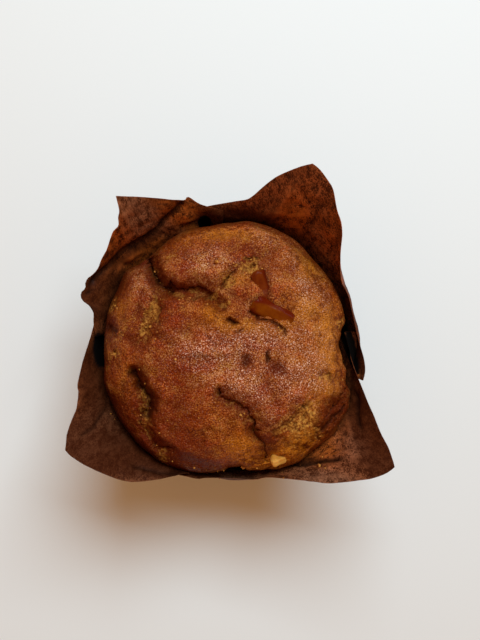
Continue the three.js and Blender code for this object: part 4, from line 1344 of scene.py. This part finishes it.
def build_chunk(name, middle, size, turn, tilt, seed, rough, taper):
    """A bevelled block, worn round by cooking and thinner at one end."""
    clear_selection()
    bpy.ops.mesh.primitive_cube_add(size=1.0)
    piece = bpy.context.object
    piece.name = piece.data.name = name
    edit(piece)
    bpy.ops.mesh.select_all(action="SELECT")
    bpy.ops.transform.resize(value=[side * MM for side in size])
    bpy.ops.mesh.bevel(offset=min(size) * 0.42 * MM, segments=3, affect="EDGES")
    bpy.ops.mesh.subdivide(number_cuts=3)
    bpy.ops.mesh.subdivide(number_cuts=1, smoothness=0.8)
    bpy.ops.object.mode_set(mode="OBJECT")
    points = corners(piece) / MM
    away = np.linalg.norm(points / np.array(size), axis=1)
    points[:, 1:] *= (1.0 - taper * (points[:, 0] / size[0]))[:, None]
    points[:, 2] -= 0.1 * size[2] * np.cos(points[:, 0] / size[0] * 5.0)
    worn = ripple(points, 2.8, seed) + 0.4 * ripple(points, 1.1, seed + 1)
    points *= (1.0 + rough * worn)[:, None]
    edge = ease(points[:, 1] / size[1], 0.2, 0.42)
    spots = ease(ripple(points, 2.0, seed + 2), 0.1, 0.5)
    give_values(piece, "skin", ease(away, 0.55, 0.78) + 0.9 * edge + 0.5 * spots)
    turned = (Matrix.Rotation(math.radians(turn), 3, "Z")
              @ Matrix.Rotation(math.radians(tilt[1]), 3, "Y")
              @ Matrix.Rotation(math.radians(-tilt[0]), 3, "X"))
    place_corners(piece, (points @ np.array(turned).T + np.array(middle)) * MM)
    return piece


def middle_of(node):
    """The middle of a node's box."""
    low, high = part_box(node)
    return (low + high) / 2.0 / MM


# ---- Scattering the crumbs ----------------------------------------------------------------

def build_crumbs(look, ground):
    """Loose crumbs, each a jagged little stone of cake, resting on the crust and the paper."""
    chance = random.Random(11)
    graph = bpy.context.evaluated_depsgraph_get()
    cake, paper = (BVHTree.FromObject(piece, graph) for piece in ground)
    clear_selection()
    bpy.ops.mesh.primitive_ico_sphere_add(subdivisions=1, radius=1.0)
    piece = bpy.context.object
    piece.name = piece.data.name = "loose_crumbs"
    stone = corners(piece)
    faces = np.array([list(face.vertices) for face in piece.data.polygons])
    places = []
    for x, y, half_wide, half_high, _, strength in TORN:
        for _ in range(int(3 + 5 * strength)):
            places.append((chance.gauss(x, half_wide), chance.gauss(y, half_high)))
    for _ in range(look.scattered):
        angle = chance.uniform(0, 2 * math.pi)
        reach = STREWN_REACH * math.sqrt(chance.random())
        places.append((reach * math.cos(angle), reach * math.sin(angle)))
    points, polygons = [], []
    down = Vector((0, 0, -1))
    for x, y in places + list(PAPER_CRUMBS):
        start = Vector((x * MM, y * MM, DROPPED_FROM))
        hit = cake.ray_cast(start, down)[0] or paper.ray_cast(start, down)[0]
        if hit is None:
            continue
        size = min(look.largest / MM, USUAL_CRUMB * math.exp(chance.gauss(0.0, 0.45)))
        stretch = [size * chance.uniform(0.7, 1.3) for _ in range(3)]
        jag = np.array([chance.uniform(0.75, 1.25) for _ in stone])
        turn = np.array(Matrix.Rotation(chance.uniform(0, 6.28), 3, "Z"))
        lump = (stone * jag[:, None] * stretch) @ turn.T
        polygons.extend(faces + len(points))
        points.extend(lump + np.array(hit) / MM + (0, 0, 0.35 * stretch[2]))
    mesh = bpy.data.meshes.new("loose_crumbs")
    mesh.from_pydata((np.array(points) * MM).tolist(), [], np.array(polygons).tolist())
    piece.data = mesh
    return piece


# ---- Operators ----------------------------------------------------------------------------

class MUFFIN_OT_case(bpy.types.Operator):
    """Fold the paper tulip case"""
    bl_idname = "muffin.case"
    bl_label = "Paper Case"

    def execute(self, context):
        look = context.scene.muffin_case
        finish_piece(build_case(look), paper_finish(look), "case_paper", "paper_case")
        return {"FINISHED"}


class MUFFIN_OT_cake(bpy.types.Operator):
    """Bake the domed cake with its split crust"""
    bl_idname = "muffin.cake"
    bl_label = "Cake"

    def execute(self, context):
        look = context.scene.muffin_cake
        finish_piece(build_cake(look), crust_finish(look), "crust", "muffin")
        return {"FINISHED"}


class MUFFIN_OT_fruit(bpy.types.Operator):
    """Set the fruit pieces in the crown"""
    bl_idname = "muffin.fruit"
    bl_label = "Fruit Pieces"

    def execute(self, context):
        look = context.scene.muffin_fruit
        for kind, name, node, shape, roughness, translucency in FRUIT:
            inner, skin = getattr(look, kind), getattr(look, kind + "_skin")
            finish = fruit_finish(kind + "_fruit", inner, skin, roughness, translucency)
            finish_piece(build_chunk(name, middle_of(node), **shape), finish, "fruit", node)
        return {"FINISHED"}


class MUFFIN_OT_crumbs(bpy.types.Operator):
    """Scatter the loose crumbs"""
    bl_idname = "muffin.crumbs"
    bl_label = "Loose Crumbs"

    def execute(self, context):
        look = context.scene.muffin_crumbs
        ground = [bpy.data.objects[name] for name in ("cake", "tulip_case")]
        finish = crumb_finish(context.scene.muffin_cake)
        finish_piece(build_crumbs(look, ground), finish, "crust")
        return {"FINISHED"}


class MUFFIN_OT_stage(bpy.types.Operator):
    """Lay the floor and set the lights and the camera"""
    bl_idname = "muffin.stage"
    bl_label = "Stage"

    def execute(self, context):
        look = context.scene.muffin_stage
        scene = context.scene
        clear_selection()
        bpy.ops.mesh.primitive_plane_add(size=FLOOR_SIZE, location=(0.0, 0.0, 0.0))
        floor = context.object
        floor.name = floor.data.name = "floor"
        floor.data.materials.append(floor_finish(look))

        clear_selection()
        bpy.ops.object.light_add(type="AREA", location=WINDOW_PLACE)
        window = context.object
        window.name = "window_light"
        window.data.shape = "RECTANGLE"
        window.data.size, window.data.size_y = WINDOW_SIZE
        window.data.energy = look.window_power
        window.data.color = look.window
        aim = Vector(WINDOW_AIM) - window.location
        window.rotation_euler = aim.to_track_quat("-Z", "Y").to_euler()

        world = bpy.data.worlds.new("room")
        scene.world = world
        world.use_nodes = True
        back = world.node_tree.nodes["Background"]
        back.inputs["Color"].default_value = (*look.room, 1.0)
        back.inputs["Strength"].default_value = look.room_strength

        bpy.ops.object.camera_add(location=(*CAMERA_OVER, look.camera_height), rotation=(0, 0, 0))
        camera = context.object
        camera.name = "camera_above"
        camera.data.lens = 50.0
        camera.data.sensor_width = 36.0
        camera.data.clip_start = 0.01
        scene.camera = camera
        scene.view_settings.view_transform = "Standard"
        return {"FINISHED"}


class MUFFIN_PT_panel(bpy.types.Panel):
    """The muffin's parts and their settings"""
    bl_idname = "MUFFIN_PT_panel"
    bl_label = "Muffin"
    bl_space_type = "VIEW_3D"
    bl_region_type = "UI"
    bl_category = "Muffin"

    def draw(self, context):
        for group, _, operator in PARTS:
            box = self.layout.box()
            box.operator(operator.bl_idname)
            settings = getattr(context.scene, group)
            for name in settings.__annotations__:
                box.prop(settings, name)


# Each part's settings in the scene, their class and the operator that builds it.
PARTS = (
    ("muffin_case", MUFFIN_PG_case, MUFFIN_OT_case),
    ("muffin_cake", MUFFIN_PG_cake, MUFFIN_OT_cake),
    ("muffin_fruit", MUFFIN_PG_fruit, MUFFIN_OT_fruit),
    ("muffin_crumbs", MUFFIN_PG_crumbs, MUFFIN_OT_crumbs),
    ("muffin_stage", MUFFIN_PG_stage, MUFFIN_OT_stage),
)


def register():
    for name, group, operator in PARTS:
        bpy.utils.register_class(group)
        setattr(bpy.types.Scene, name, bpy.props.PointerProperty(type=group))
        bpy.utils.register_class(operator)
    bpy.utils.register_class(MUFFIN_PT_panel)


def unregister():
    bpy.utils.unregister_class(MUFFIN_PT_panel)
    for name, group, operator in reversed(PARTS):
        bpy.utils.unregister_class(operator)
        delattr(bpy.types.Scene, name)
        bpy.utils.unregister_class(group)


def main():
    register()
    bpy.ops.muffin.case()
    bpy.ops.muffin.cake()
    bpy.ops.muffin.fruit()
    bpy.ops.muffin.crumbs()
    bpy.ops.muffin.stage()


if __name__ == "__main__":
    main()
